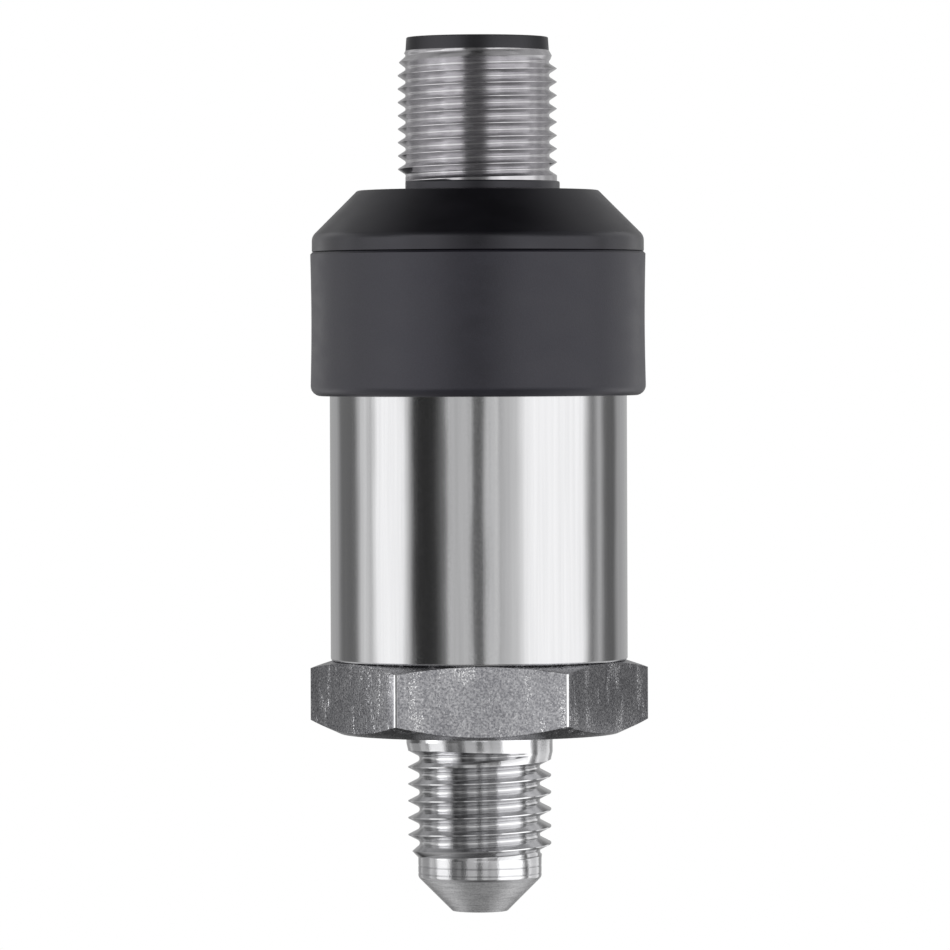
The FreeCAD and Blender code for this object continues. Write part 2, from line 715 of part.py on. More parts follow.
def make_head_ring():
    """Moulded ring that slides over the case, with a shoulder that rests on the case's top."""
    piece = new_piece("head_ring")
    outline = new_sketch(piece, "ring_outline", "XZ_Plane")
    groove_half = "(Size.case_seal_section / 2 + Size.seal_room)"
    draw_outline(outline, [
        ("Radius.ring_bore", "Level.ring_foot"),
        ("Radius.ring", "Level.ring_foot"),
        ("Radius.ring", "Level.ring_top"),
        ("Radius.shoulder_bore", "Level.ring_top"),
        ("Radius.shoulder_bore", "Level.case_top"),
        ("Radius.ring_bore", "Level.case_top"),
        ("Radius.ring_bore", f"Level.case_seal + {groove_half}"),
        ("Radius.case_seal_groove", f"Level.case_seal + {groove_half}"),
        ("Radius.case_seal_groove", f"Level.case_seal - {groove_half}"),
        ("Radius.ring_bore", f"Level.case_seal - {groove_half}"),
    ])
    ring = turn(piece, "ring", outline)
    foot = round_rim(piece, "foot_round", ring, "Radius.ring", "Level.ring_foot",
                     "Size.ring_foot_round")
    bevel_rim(piece, "top_edge", foot, "Radius.ring", "Level.ring_top", "Size.ring_edge")
    return piece


def make_head_cap():
    """Moulded cap with a collar, flat on one side, and a plug that hooks under the case's lip."""
    piece = new_piece("head_cap")
    outline = new_sketch(piece, "cap_outline", "XZ_Plane")
    cap_groove_half = "(Size.cap_seal_section / 2 + Size.seal_room)"
    sleeve_groove_half = "(Size.sleeve_seal_section / 2 + Size.seal_room)"
    draw_outline(outline, [
        ("Radius.plug_bore", "Level.plug_foot"),
        ("Radius.plug", "Level.plug_foot"),
        ("Radius.hook", "Level.plug_foot + Size.hook_height"),
        ("Radius.hook", "Level.hook_top"),
        ("Radius.plug", "Level.hook_top"),
        ("Radius.plug", f"Level.cap_seal - {cap_groove_half}"),
        ("Radius.cap_seal_groove", f"Level.cap_seal - {cap_groove_half}"),
        ("Radius.cap_seal_groove", f"Level.cap_seal + {cap_groove_half}"),
        ("Radius.plug", f"Level.cap_seal + {cap_groove_half}"),
        ("Radius.plug", "Level.ring_top"),
        ("Radius.cap", "Level.ring_top"),
        ("Radius.cap", "Level.ring_top + Size.cap_wall_height"),
        ("Radius.cap_top", "Level.cap_top"),
        ("Size.collar_diameter / 2", "Level.cap_top"),
        ("Size.collar_diameter / 2", "Level.collar_top"),
        ("Radius.sleeve_hole", "Level.collar_top"),
        ("Radius.sleeve_hole", f"Level.sleeve_seal + {sleeve_groove_half}"),
        ("Radius.sleeve_seal_groove", f"Level.sleeve_seal + {sleeve_groove_half}"),
        ("Radius.sleeve_seal_groove", f"Level.sleeve_seal - {sleeve_groove_half}"),
        ("Radius.sleeve_hole", f"Level.sleeve_seal - {sleeve_groove_half}"),
        ("Radius.sleeve_hole", "Level.pocket_top"),
        ("Radius.sleeve_pocket", "Level.pocket_top"),
        ("Radius.sleeve_pocket", "Level.roof"),
        ("Radius.plug_bore", "Level.roof"),
    ])
    cap = turn(piece, "cap", outline)
    shoulder = round_rim(piece, "shoulder_round", cap, "Radius.cap",
                         "Level.ring_top + Size.cap_wall_height", "Size.cap_shoulder_round")
    crown = round_rim(piece, "top_round", shoulder, "Radius.cap_top", "Level.cap_top",
                      "Size.cap_top_round")
    bevel_rim(piece, "foot_edge", crown, "Radius.cap", "Level.ring_top", "Size.cap_edge")

    flat = new_sketch(piece, "flat_outline", "XY_Plane", "Level.cap_top")
    draw_rectangle(flat, "-Size.collar_diameter", "-Size.collar_flat",
                   "-Size.collar_diameter", "Size.collar_diameter")
    pocket(piece, "collar_flat", flat, "Size.collar_height")
    return piece


def make_connector_sleeve():
    """Metal sleeve for the plug's union nut, held in the cap by a flange at its foot."""
    piece = new_piece("connector_sleeve")
    outline = new_sketch(piece, "sleeve_outline", "XZ_Plane")
    draw_outline(outline, [
        ("Radius.sleeve_bore", "Level.roof"),
        ("Radius.sleeve_flange", "Level.roof"),
        ("Radius.sleeve_flange", "Level.pocket_top"),
        ("Radius.sleeve_neck", "Level.pocket_top"),
        ("Radius.sleeve_neck", "Level.collar_top"),
        ("Radius.sleeve", "Level.collar_top"),
        ("Radius.sleeve", "Level.sleeve_top - Size.sleeve_edge_height"),
        ("Radius.sleeve - Size.sleeve_edge_width", "Level.sleeve_top"),
        ("Radius.sleeve_bore", "Level.sleeve_top"),
    ])
    turn(piece, "sleeve", outline)
    return piece


def make_connector_insert():
    """Moulded contact carrier: a keyed cup with a rim over the sleeve and a bead under it."""
    piece = new_piece("connector_insert")
    outline = new_sketch(piece, "insert_outline", "XZ_Plane")
    draw_outline(outline, [
        ("0", "Level.ring_top"),
        ("Radius.insert", "Level.ring_top"),
        ("Radius.insert_bead", "Level.roof - Size.insert_bead_height / 2"),
        ("Radius.insert_bead", "Level.roof"),
        ("Radius.insert", "Level.roof"),
        ("Radius.insert", "Level.sleeve_top"),
        ("Size.rim_foot_diameter / 2", "Level.sleeve_top"),
        ("Size.rim_top_diameter / 2", "Level.rim_top"),
        ("Radius.cavity", "Level.rim_top"),
        ("Radius.cavity", "Level.cavity_floor"),
        ("0", "Level.cavity_floor"),
    ])
    cup = turn(piece, "cup", outline)
    round_rim(piece, "rim_round", cup, "Size.rim_top_diameter / 2", "Level.rim_top",
              "Size.rim_round")

    key = new_sketch(piece, "key_outline", "XY_Plane", "Level.cavity_floor")
    half_key = "Size.key_width / 2"
    draw_rectangle(key, f"-{half_key}", half_key, "Radius.cavity - Size.key_reach",
                   "(Radius.cavity + Radius.insert) / 2")
    pad(piece, "key", key, "Size.cavity_depth - Size.key_drop")

    across = "Radius.pin_row * cos(45deg)"
    holes = new_sketch(piece, "pin_hole_outline", "XY_Plane", "Level.ring_top")
    draw_circle(holes, "Radius.pin", across, across)
    hole = pocket(piece, "pin_hole", holes, "Level.cavity_floor - Level.ring_top")
    repeat_round(piece, "pin_holes", hole, holes, "Size.pin_count")
    seats = new_sketch(piece, "pin_seat_outline", "XY_Plane", "Level.ring_top")
    draw_circle(seats, "Radius.pin_collar", across, across)
    seat = pocket(piece, "pin_seat", seats, "Size.pin_collar_height")
    repeat_round(piece, "pin_seats", seat, seats, "Size.pin_count")
    return piece


def make_contact_pin(number):
    """One turned contact pin, pressed into the insert from below up to its collar."""
    piece = new_piece(f"contact_pin_{number}")
    outline = new_sketch(piece, "pin_outline", "XZ_Plane")
    draw_outline(outline, [
        ("0", "Level.connector_board_foot - Size.pin_tail_reach"),
        ("Radius.pin_tail", "Level.connector_board_foot - Size.pin_tail_reach"),
        ("Radius.pin_tail", "Level.ring_top"),
        ("Radius.pin_collar", "Level.ring_top"),
        ("Radius.pin_collar", "Level.ring_top + Size.pin_collar_height"),
        ("Radius.pin", "Level.ring_top + Size.pin_collar_height"),
        ("Radius.pin", "Level.pin_tip - Size.pin_taper"),
        ("Size.pin_tip_diameter / 2", "Level.pin_tip"),
        ("0", "Level.pin_tip"),
    ])
    turn(piece, "pin", outline)
    bearing = f"(45deg + 360deg * {number - 1} / Size.pin_count)"
    piece.setExpression("Placement.Base.x", f"Radius.pin_row * cos({bearing})")
    piece.setExpression("Placement.Base.y", f"Radius.pin_row * sin({bearing})")
    doc.recompute()
    return piece


def make_connector_board():
    """Round board under the insert, drilled for the pins' tails and the links."""
    piece = new_piece("connector_board")
    outline = new_sketch(piece, "disc_outline", "XY_Plane", "Level.connector_board_foot")
    draw_circle(outline, "Size.connector_board_diameter / 2")
    pad(piece, "disc", outline, "Size.connector_board_thickness")
    across = "Radius.pin_row * cos(45deg)"
    tails = new_sketch(piece, "tail_outline", "XY_Plane", "Level.connector_board_foot")
    draw_circle(tails, "Radius.pin_tail", across, across)
    tail = pocket(piece, "tail_hole", tails, "Size.connector_board_thickness")
    repeat_round(piece, "tail_holes", tail, tails, "Size.pin_count")
    links = new_sketch(piece, "link_hole_outline", "XY_Plane", "Level.connector_board_foot")
    first = "-Size.link_pitch * (Size.link_count - 1) / 2"
    draw_circle(links, "Radius.link", first, "Depth.link_row")
    hole = pocket(piece, "link_hole", links, "Size.connector_board_thickness")
    repeat_along(piece, "link_holes", hole, links, "H_Axis", "Size.link_pitch", "Size.link_count")
    return piece


pieces = [
    make_process_connection(),
    make_measuring_cell(),
    make_gauge_chip(),
    make_gauge_leads(),
    make_ring("cell_ring", "Radius.cell + Size.fit_clearance", "Radius.cell_ring",
              "Level.cell_flange_top", "Level.cell_ring_top"),
    make_ring("contact_board", "Radius.cell + Size.fit_clearance", "Radius.cell_ring",
              "Level.cell_ring_top", "Level.contact_board_top"),
    make_sensor_flex(),
    make_board_carrier(),
    make_main_board(),
    make_block_row("signal_chip", "Size.signal_chip_side", "Size.signal_chip_side",
                   "Size.signal_chip_thickness", "0",
                   "Level.board_foot + Size.signal_chip_centre - Size.signal_chip_side / 2"),
    make_output_chip(),
    make_block_row("board_capacitors", "Size.capacitor_length", "Size.capacitor_width",
                   "Size.capacitor_thickness", "-Size.small_part_offset",
                   "Level.board_foot + Size.output_chip_centre",
                   "Size.capacitor_pitch", "Size.capacitor_count"),
    make_block_row("board_resistors", "Size.resistor_length", "Size.resistor_width",
                   "Size.resistor_thickness", "Size.small_part_offset",
                   "Level.board_foot + Size.output_chip_centre",
                   "Size.resistor_pitch", "Size.resistor_count"),
    make_surge_diodes(),
    make_board_socket(),
    make_board_links(),
    make_case_tube(),
    make_seal("case_seal", "Radius.case", "Size.case_seal_section", "Level.case_seal"),
    make_head_ring(),
    make_seal("cap_seal", "Radius.cap_seal_groove", "Size.cap_seal_section", "Level.cap_seal"),
    make_head_cap(),
    make_connector_sleeve(),
    make_seal("sleeve_seal", "Radius.sleeve_neck", "Size.sleeve_seal_section", "Level.sleeve_seal"),
    make_connector_insert(),
    make_connector_board(),
]
pieces += [make_contact_pin(number) for number in range(1, int(value("Size.pin_count")) + 1)]

doc.recompute()
for item in doc.Objects:
    if "Invalid" in item.State or "Error" in item.State:
        raise RuntimeError(f"{item.Label} failed: {item.State}")
for piece in pieces:
    if piece.Shape.isNull() or not piece.Shape.isValid():
        raise RuntimeError(f"{piece.Label} is not a valid solid")

os.makedirs("parts", exist_ok=True)
for piece in pieces:
    piece.Shape.exportStep(f"parts/{piece.Label}.step")
    box = piece.Shape.BoundBox
    print(f"{piece.Label}: {len(piece.Shape.Solids)} solid(s), {piece.Shape.Volume:.2f} mm3,"
          f" z {box.ZMin:.2f} to {box.ZMax:.2f}, width {box.XLength:.2f}")
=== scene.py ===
import math

import bpy
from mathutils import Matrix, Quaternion, Vector


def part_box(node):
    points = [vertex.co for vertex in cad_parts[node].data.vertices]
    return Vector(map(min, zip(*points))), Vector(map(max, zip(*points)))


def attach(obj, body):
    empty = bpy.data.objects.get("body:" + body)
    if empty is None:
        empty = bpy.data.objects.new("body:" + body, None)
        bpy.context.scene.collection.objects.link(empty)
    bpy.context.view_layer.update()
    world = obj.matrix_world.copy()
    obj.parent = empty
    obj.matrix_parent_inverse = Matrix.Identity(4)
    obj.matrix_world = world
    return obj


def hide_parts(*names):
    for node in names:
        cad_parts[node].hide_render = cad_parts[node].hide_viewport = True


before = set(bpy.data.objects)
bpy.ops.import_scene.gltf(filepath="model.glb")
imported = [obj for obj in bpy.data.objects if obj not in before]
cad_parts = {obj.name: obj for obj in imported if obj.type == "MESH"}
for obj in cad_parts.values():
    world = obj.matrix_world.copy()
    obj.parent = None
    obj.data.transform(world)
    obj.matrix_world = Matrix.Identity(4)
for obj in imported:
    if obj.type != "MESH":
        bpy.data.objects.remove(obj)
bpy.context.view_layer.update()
MM = 0.001

# Camera: half a metre in front of the transmitter, level with the upper part of its case and looking
# slightly down. It stands a little left of square to the hexagon's front face.
IMAGE_SIDE = 950
SENSOR_WIDTH = 36.0
FOCAL_LENGTH_IN_PIXELS = 6675
CAMERA_DISTANCE = 500 * MM
CAMERA_HEIGHT = 29.2 * MM
CAMERA_BEARING = math.radians(0.86)
CAMERA_ROLL = math.radians(-0.2)
AIM = Vector((-0.27 * MM, 0, 19.30 * MM))

camera_data = bpy.data.cameras.new("camera")
camera_data.sensor_width = SENSOR_WIDTH
camera_data.lens = FOCAL_LENGTH_IN_PIXELS * SENSOR_WIDTH / IMAGE_SIDE
camera_data.clip_start = 0.01
camera = bpy.data.objects.new("camera", camera_data)
bpy.context.scene.collection.objects.link(camera)
camera.location = (
    -CAMERA_DISTANCE * math.sin(CAMERA_BEARING),
    -CAMERA_DISTANCE * math.cos(CAMERA_BEARING),
    CAMERA_HEIGHT,
)
aimed = (AIM - camera.location).to_track_quat("-Z", "Y")
camera.rotation_euler = (aimed @ Quaternion((0, 0, 1), CAMERA_ROLL)).to_euler()
bpy.context.scene.camera = camera


# Studio light: a ring of white screens with dark gaps between them, as round a polished thing on a white
# table. The screens stand level with it; above and below them the room is dimmer and darkest overhead.
# Soft boxes, each aimed at a few pieces only, fill in what the screens leave too dark there.
# The lists hold pairs of bearing in degrees, 0 in front and 90 on the right, and light. A colour ramp
# holds them as shares of SCREEN_LIGHT. ZENITH and NADIR hold the heights of a step and the light past it.
SCREEN_LIGHT = 1.25
SCREENS = [
    (-180, 0.45), (-164, 0.42), (-143, 0.42), (-135, 0.17), (-113, 0.14), (-104, 0.76), (-100, 0.80),
    (-93, 0.52), (-86, 1.20), (-63, 1.20), (-58, 0.70), (-53, 0.03), (-48, 0.025), (-34, 0.03),
    (-28, 0.19), (-20, 0.09), (-8, 0.14), (0, 0.11), (6, 0.13), (12, 0.20), (18, 0.58),
    (30, 0.71), (38, 1.20), (87, 1.20), (93, 0.47), (98, 0.15), (107, 0.58), (114, 0.15), (128, 0.12),
    (136, 0.38), (165, 0.50), (180, 0.48),
]
ROOM_ABOVE = [
    (-180, 0.08), (-168, 0.08), (-155, 0.42), (-120, 0.42), (-90, 0.45), (-30, 0.20), (0, 0.08),
    (30, 0.20), (90, 0.45), (120, 0.42), (155, 0.42), (168, 0.08), (180, 0.08),
]
ROOM_BELOW = [
    (-180, 0.04), (-162, 0.05), (-145, 0.50), (-120, 0.65), (-90, 0.60), (-30, 0.20), (0, 0.08),
    (30, 0.20), (90, 0.65), (120, 0.70), (145, 0.55), (162, 0.05), (180, 0.04),
]
SCREEN_EDGE = (0.22, 0.46)
ZENITH = (0.72, 0.98, 0.04)
NADIR = (0.82, 0.98, 0.26)


def calculate(tree, operation, *values):
    """The output of one Math node, whose inputs are numbers or other outputs."""
    node = tree.nodes.new("ShaderNodeMath")
    node.operation = operation
    for socket, value in zip(node.inputs, values):
        if isinstance(value, (int, float)):
            socket.default_value = value
        else:
            tree.links.new(value, socket)
    return node.outputs[0]


def between(tree, source, low, high):
    """A soft step from 0 at low to 1 at high."""
    node = tree.nodes.new("ShaderNodeMapRange")
    node.interpolation_type = "SMOOTHSTEP"
    tree.links.new(source, node.inputs["Value"])
    node.inputs["From Min"].default_value = low
    node.inputs["From Max"].default_value = high
    return node.outputs["Result"]


def ramp(tree, source, stops):
    """A colour ramp from pairs of place and colour, a colour being one grey or three parts."""
    node = tree.nodes.new("ShaderNodeValToRGB")
    tree.links.new(source, node.inputs["Fac"])
    elements = node.color_ramp.elements
    for number, (place, colour) in enumerate(stops):
        if number > 1:
            elements.new(place)
        elements[number].position = place
        parts = colour if isinstance(colour, tuple) else (colour,) * 3
        elements[number].color = (*parts, 1)
    return node.outputs["Color"]


def blend_values(tree, share, first, second):
    """First where the share is 0, second where it is 1."""
    rest = calculate(tree, "SUBTRACT", 1.0, share)
    kept = calculate(tree, "MULTIPLY", first, rest)
    return calculate(tree, "ADD", kept, calculate(tree, "MULTIPLY", second, share))


def light_the_studio():
    """A world whose light depends on its direction, plain white where the camera looks at it."""
    world = bpy.data.worlds.new("studio")
    world.use_nodes = True
    tree = world.node_tree
    way = tree.nodes.new("ShaderNodeSeparateXYZ")
    tree.links.new(tree.nodes.new("ShaderNodeTexCoord").outputs["Generated"], way.inputs[0])
    across, along, up = way.outputs
    bearing = calculate(tree, "ARCTAN2", across, calculate(tree, "MULTIPLY", along, -1.0))
    turn = calculate(tree, "ADD", calculate(tree, "DIVIDE", bearing, 2 * math.pi), 0.5)
    rings = []
    for stops in (SCREENS, ROOM_ABOVE, ROOM_BELOW):
        places = [((angle + 180) / 360, light / SCREEN_LIGHT) for angle, light in stops]
        rings.append(calculate(tree, "MULTIPLY", ramp(tree, turn, places), SCREEN_LIGHT))
    light, above, below = rings
    for direction, ring, (start, end, level) in ((1, above, ZENITH), (-1, below, NADIR)):
        height = calculate(tree, "MULTIPLY", up, direction)
        light = blend_values(tree, between(tree, height, *SCREEN_EDGE), light, ring)
        light = blend_values(tree, between(tree, height, start, end), light, level)
    seen = tree.nodes.new("ShaderNodeLightPath").outputs["Is Camera Ray"]
    background = tree.nodes["Background"]
    tree.links.new(blend_values(tree, seen, light, 1.0), background.inputs["Strength"])
    background.inputs["Color"].default_value = (1, 1, 1, 1)
    bpy.context.scene.world = world


def soft_box(name, bearing, width, distance, low, high, light):
    """A light that faces the axis at a bearing, width degrees wide; aim_boxes says what it lights."""
    reach = distance * MM
    data = bpy.data.lights.new(name, "AREA")
    data.shape = "RECTANGLE"
    data.size = 2 * reach * math.tan(math.radians(width / 2))
    data.size_y = (high - low) * MM
    data.energy = math.pi * data.size * data.size_y * light
    box = bpy.data.objects.new(name, data)
    bpy.context.scene.collection.objects.link(box)
    turn = math.radians(bearing)
    box.location = (reach * math.sin(turn), -reach * math.cos(turn), (low + high) / 2 * MM)
    box.rotation_euler = (math.radians(90), 0, turn)
    box.visible_diffuse = False
    return box


def aim_boxes(boxes, pieces):
    """Lets soft boxes light the given pieces only."""
    group = bpy.data.collections.new("lit_" + boxes[0].name)
    for piece in pieces:
        group.objects.link(piece)
    for box in boxes:
        box.light_linking.receiver_collection = group


light_the_studio()
head_boxes = [
    soft_box("head_left", -42, 36, 200, -90, 170, 1.0),
    soft_box("head_right", 26, 22, 200, -90, 170, 0.5),
]
wall_boxes = [
    soft_box("wall_left", -122, 50, 200, -90, 170, 0.5),
    soft_box("wall_right", 118, 46, 200, -90, 170, 0.6),
]
sleeve_boxes = [
    soft_box("sleeve_left", -128, 40, 200, -60, 150, 0.22),
    soft_box("sleeve_right", 112, 50, 200, -60, 150, 0.32),
    soft_box("sleeve_above_left", -62, 60, 30, 85, 200, 0.30),
    soft_box("sleeve_above_right", 52, 60, 30, 85, 200, 0.30),
]
front_boxes = [
    soft_box("front_left", -15.5, 19, 200, -90, 170, 0.47),
    soft_box("front_right", 8.5, 11, 200, -90, 170, 0.50),
]
stem_boxes = [
    soft_box("stem_strip_left", -73, 26, 60, -50, 40, 0.40),
    soft_box("stem_strip_right", 58, 50, 60, -50, 40, 0.90),
    soft_box("stem_left", -118, 40, 30, -20, -4, 0.30),
    soft_box("stem_right", 116, 40, 30, -20, -2, 0.80),
    soft_box("stem_front", -43, 16, 60, -25, -4, 0.20),
    soft_box("stem_centre", -8, 70, 60, -50, 40, 0.13),
    soft_box("hexagon_left", -76, 22, 27, -3, 8, 1.5),
    soft_box("hexagon_front", 0, 24, 120, -8, 12, 0.55),
]
bpy.context.scene.view_settings.view_transform = "Standard"

# Floor: a plain white table top right under the nose. It glows by itself, so nothing shades it.
FLOOR_SIDE = 3.0
stem_low, seat_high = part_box("process_connection")
bpy.ops.mesh.primitive_plane_add(size=FLOOR_SIDE, location=(0, 0, stem_low.z))
floor = bpy.context.active_object
floor.name = "floor"
floor.visible_glossy = False
floor.visible_diffuse = False
floor.visible_shadow = False
table_top = bpy.data.materials.new("table_top")
table_top.use_nodes = True
table_shader = table_top.node_tree.nodes["Principled BSDF"]
table_shader.inputs["Base Color"].default_value = (0, 0, 0, 1)
table_shader.inputs["Specular IOR Level"].default_value = 0
table_shader.inputs["Emission Color"].default_value = (1, 1, 1, 1)
table_shader.inputs["Emission Strength"].default_value = 1.0
floor.data.materials.append(table_top)


# Process connection: one piece of stainless bar. The hexagon keeps the bar's drawn and blasted skin and
# its corners are turned off; the stem is turned, threaded and left bright, with a 45 degree sealing cone.
# It is drilled through, and carries the case on its spigot and the measuring cell on its boss.
case_low, case_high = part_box("case_tube")
HEX_CORNER = seat_high.x
HEX_FLAT = seat_high.y
HEX_TOP = case_low.z
HEX_TOP_FACE = HEX_FLAT - 0.1 * MM
HEX_TOP_SLOPE = math.radians(18.5)
HEX_BOTTOM_FACE = HEX_FLAT - 0.55 * MM
HEX_BOTTOM_SLOPE = math.radians(24.5)
HEX_EDGE = 0.35 * MM
HEX_TILTS = (-30, -20, 0, 20)
HEX_SPARE = 1.0 * MM
HEX_SIDES = 240
NOSE_END = stem_low.z
NOSE_FACE = 2.08 * MM
NOSE_ROUND = 0.08 * MM
PILOT = 4.62 * MM
PILOT_END = NOSE_END + (PILOT - NOSE_FACE)
PILOT_ROUND = 0.35 * MM
PORT = 1.5 * MM
PORT_ROUND = 0.06 * MM
NECK = 5.48 * MM
STEM_TOP = 1.0 * MM
SPIGOT = case_high.x - 0.65 * MM
SPIGOT_TOP = HEX_TOP + 2.0 * MM
BOSS = 6.0 * MM
BOSS_TOP = seat_high.z
STEM_PITCH = 1.27 * MM
STEM_CREST = 5.36 * MM
STEM_CREST_HEIGHT = -3.205 * MM
STEM_CREST_WIDTH = 0.08 * MM
STEM_ROOT = 4.51 * MM
STEM_FLANK = math.radians(27)
STEM_FIRST_TURN = -7
STEM_TURNS = 12
STEM_SIDES = 216
STEM_GROOVE_END = 0.87
STEM_GROOVE_FADE = 0.22
STEM_GROOVE_LEVELLED = 0.8
STEM_BEVEL_TOP = -8.45 * MM
STEM_BEVEL_FOOT = -9.35 * MM
PILOT_START = STEM_BEVEL_FOOT - 0.1 * MM
PILOT_MARKS = (-9.95 * MM, -10.50 * MM)
PILOT_MARK = 0.045 * MM
PILOT_MARK_HALF = 0.05 * MM
PILOT_MARK_FLOOR_HALF = 0.02 * MM
CONE_START = PILOT_END - 0.1 * MM
WORN_EDGE = 0.2 * MM
UPRIGHT = 0.05
CREST_SLACK = 0.01
CREST_SHARE = 0.02
CONNECTION_SHARP = math.radians(28)
SHARP = math.radians(30)
ROUND_SIDES = 144
MERGED = 0.0005 * MM
WORN_OUT = 0.0002 * MM
SAME_HEIGHT = 0.001 * MM
SAME_PLANE = 0.0001 * MM


def edit_whole():
    """Goes into edit mode with all of the active piece selected."""
    bpy.ops.object.mode_set(mode="EDIT")
    bpy.ops.mesh.select_all(action="SELECT")


def settle():
    """Moves the active piece's place, turn and size into its mesh."""
    bpy.ops.object.transform_apply(location=True, rotation=True, scale=True)


def grow_rings(outline):
    """Draws the selected ring of edges out through pairs of radius and height, as on a lathe."""
    for (radius, height), (next_radius, next_height) in zip(outline, outline[1:]):
        bpy.ops.mesh.extrude_region_move(
            TRANSFORM_OT_translate={"value": (0, 0, next_height - height)})
        share = next_radius / radius
        bpy.ops.transform.resize(value=(share, share, 1), center_override=(0, 0, next_height))


def close_and_smooth():
    """Merges doubled points, turns the faces outwards and smooths all but the sharp edges."""
    bpy.ops.mesh.select_all(action="SELECT")
    bpy.ops.mesh.remove_doubles(threshold=MERGED)
    bpy.ops.mesh.normals_make_consistent(inside=False)
    bpy.ops.object.mode_set(mode="OBJECT")
    bpy.ops.object.shade_smooth_by_angle(angle=SHARP)


def turned(name, outline, sides=ROUND_SIDES, capped=False):
    """A piece turned from an outline of radius and height; capped closes its first ring."""
    bpy.ops.object.select_all(action="DESELECT")
    radius, height = outline[0]
    bpy.ops.mesh.primitive_circle_add(vertices=sides, radius=radius, location=(0, 0, height))
    piece = bpy.context.active_object
    piece.name = name
    settle()
    edit_whole()
    if capped:
        bpy.ops.mesh.edge_face_add()
        bpy.ops.mesh.select_all(action="SELECT")
    grow_rings(outline)
    close_and_smooth()
    return piece


def rounded(before, corner, after, radius, steps=6):
    """The points that round the corner of an outline to a radius."""
    middle = Vector(corner)
    back = (Vector(before) - middle).normalized()
    ahead = (Vector(after) - middle).normalized()
    half = back.angle(ahead) / 2
    centre = middle + (back + ahead).normalized() * radius / math.sin(half)
    start = middle + back * radius / math.tan(half) - centre
    end = middle + ahead * radius / math.tan(half) - centre
    points = []
    for step in range(steps + 1):
        spot = start.lerp(end, step / steps).normalized() * radius
        points.append(tuple(centre + spot))
    return points


def wound_thread(name, tooth, pitch, first_turn, turns, sides=ROUND_SIDES):
    """A thread's skin: one tooth drawn out point by point from crest to crest, then wound upwards."""
    bpy.ops.object.select_all(action="DESELECT")
    radius, height = tooth[0]
    bpy.ops.mesh.primitive_plane_add(size=0.1 * MM, location=(radius, 0, height + first_turn * pitch))
    skin = bpy.context.active_object
    skin.name = name
    settle()
    edit_whole()
    bpy.ops.mesh.merge(type="CENTER")
    for (radius, height), (next_radius, next_height) in zip(tooth, tooth[1:]):
        step = (next_radius - radius, 0, next_height - height)
        bpy.ops.mesh.extrude_region_move(TRANSFORM_OT_translate={"value": step})
    bpy.ops.object.mode_set(mode="OBJECT")
    screw = skin.modifiers.new("winding", "SCREW")
    screw.axis = "Z"
    screw.screw_offset = pitch
    screw.iterations = turns
    screw.steps = sides
    screw.render_steps = sides
    bpy.ops.object.modifier_apply(modifier="winding")
    return skin


def tooth_outline(crest, root, crest_height, crest_width, pitch, flank, root_steps=6):
    """One tooth gap from crest to crest, straight flanks into a round root."""
    half_root = pitch / 2 - crest_width / 2
    root_turn = math.pi / 2 - flank
    drop = crest - root
    bow = (half_root - drop * math.tan(flank)) / (
        math.sin(root_turn) - (1 - math.cos(root_turn)) * math.tan(flank))
    points = [(crest, crest_height), (crest, crest_height + crest_width / 2)]
    for step in range(root_steps + 1):
        angle = root_turn * (2 * step / root_steps - 1)
        height = crest_height + pitch / 2 + bow * math.sin(angle)
        points.append((root + bow * (1 - math.cos(angle)), height))
    points.append((crest, crest_height + pitch - crest_width / 2))
    points.append((crest, crest_height + pitch))
    return points


def reshape(piece, limit):
    """Moves each point to the radius and height that limit gives for its radius, height and turn."""
    for point in piece.data.vertices:
        radius = math.hypot(point.co.x, point.co.y)
        turn = math.atan2(point.co.y, point.co.x) / (2 * math.pi)
        new_radius, new_height = limit(radius, point.co.z, turn)
        point.co.x *= new_radius / radius
        point.co.y *= new_radius / radius
        point.co.z = new_height


def clean_skin():
    """Merges what reshape has brought together in the active piece and drops its flattened faces."""
    edit_whole()
    bpy.ops.mesh.remove_doubles(threshold=MERGED)
    bpy.ops.mesh.dissolve_degenerate(threshold=WORN_OUT)


def select_ring(piece, height):
    """Selects the edges that all lie at one height."""
    bpy.ops.object.mode_set(mode="EDIT")
    bpy.ops.mesh.select_all(action="DESELECT")
    bpy.ops.object.mode_set(mode="OBJECT")
    points = piece.data.vertices
    for edge in piece.data.edges:
        edge.select = all(abs(points[end].co.z - height) < SAME_HEIGHT for end in edge.vertices)
    bpy.ops.object.mode_set(mode="EDIT")


def stem_limit(radius, height, turn):
    """The stem's skin: the groove runs out into the neck, and the start of the thread is bevelled."""
    pitches = (height - STEM_CREST_HEIGHT) / STEM_PITCH - turn
    place = turn + math.floor(pitches - CREST_SLACK)
    depth = min(max((STEM_GROOVE_END - place) / STEM_GROOVE_FADE, 0), 1)
    groove = pitches - math.floor(pitches - CREST_SLACK)
    if CREST_SHARE < groove < 1 - CREST_SHARE:
        height += (0.5 - groove) * (1 - depth) * STEM_GROOVE_LEVELLED * STEM_PITCH
    radius = NECK - (NECK - radius) * depth
    slope = (height - STEM_BEVEL_FOOT) / (STEM_BEVEL_TOP - STEM_BEVEL_FOOT)
    radius = min(radius, PILOT + (NECK - PILOT) * max(slope, 0))
    radius = max(radius, PILOT - (PILOT - STEM_ROOT) * min(max(2 * slope, 0), 1))
    if height < STEM_BEVEL_FOOT:
        radius = PILOT
    return radius, min(max(height, PILOT_START), STEM_TOP)


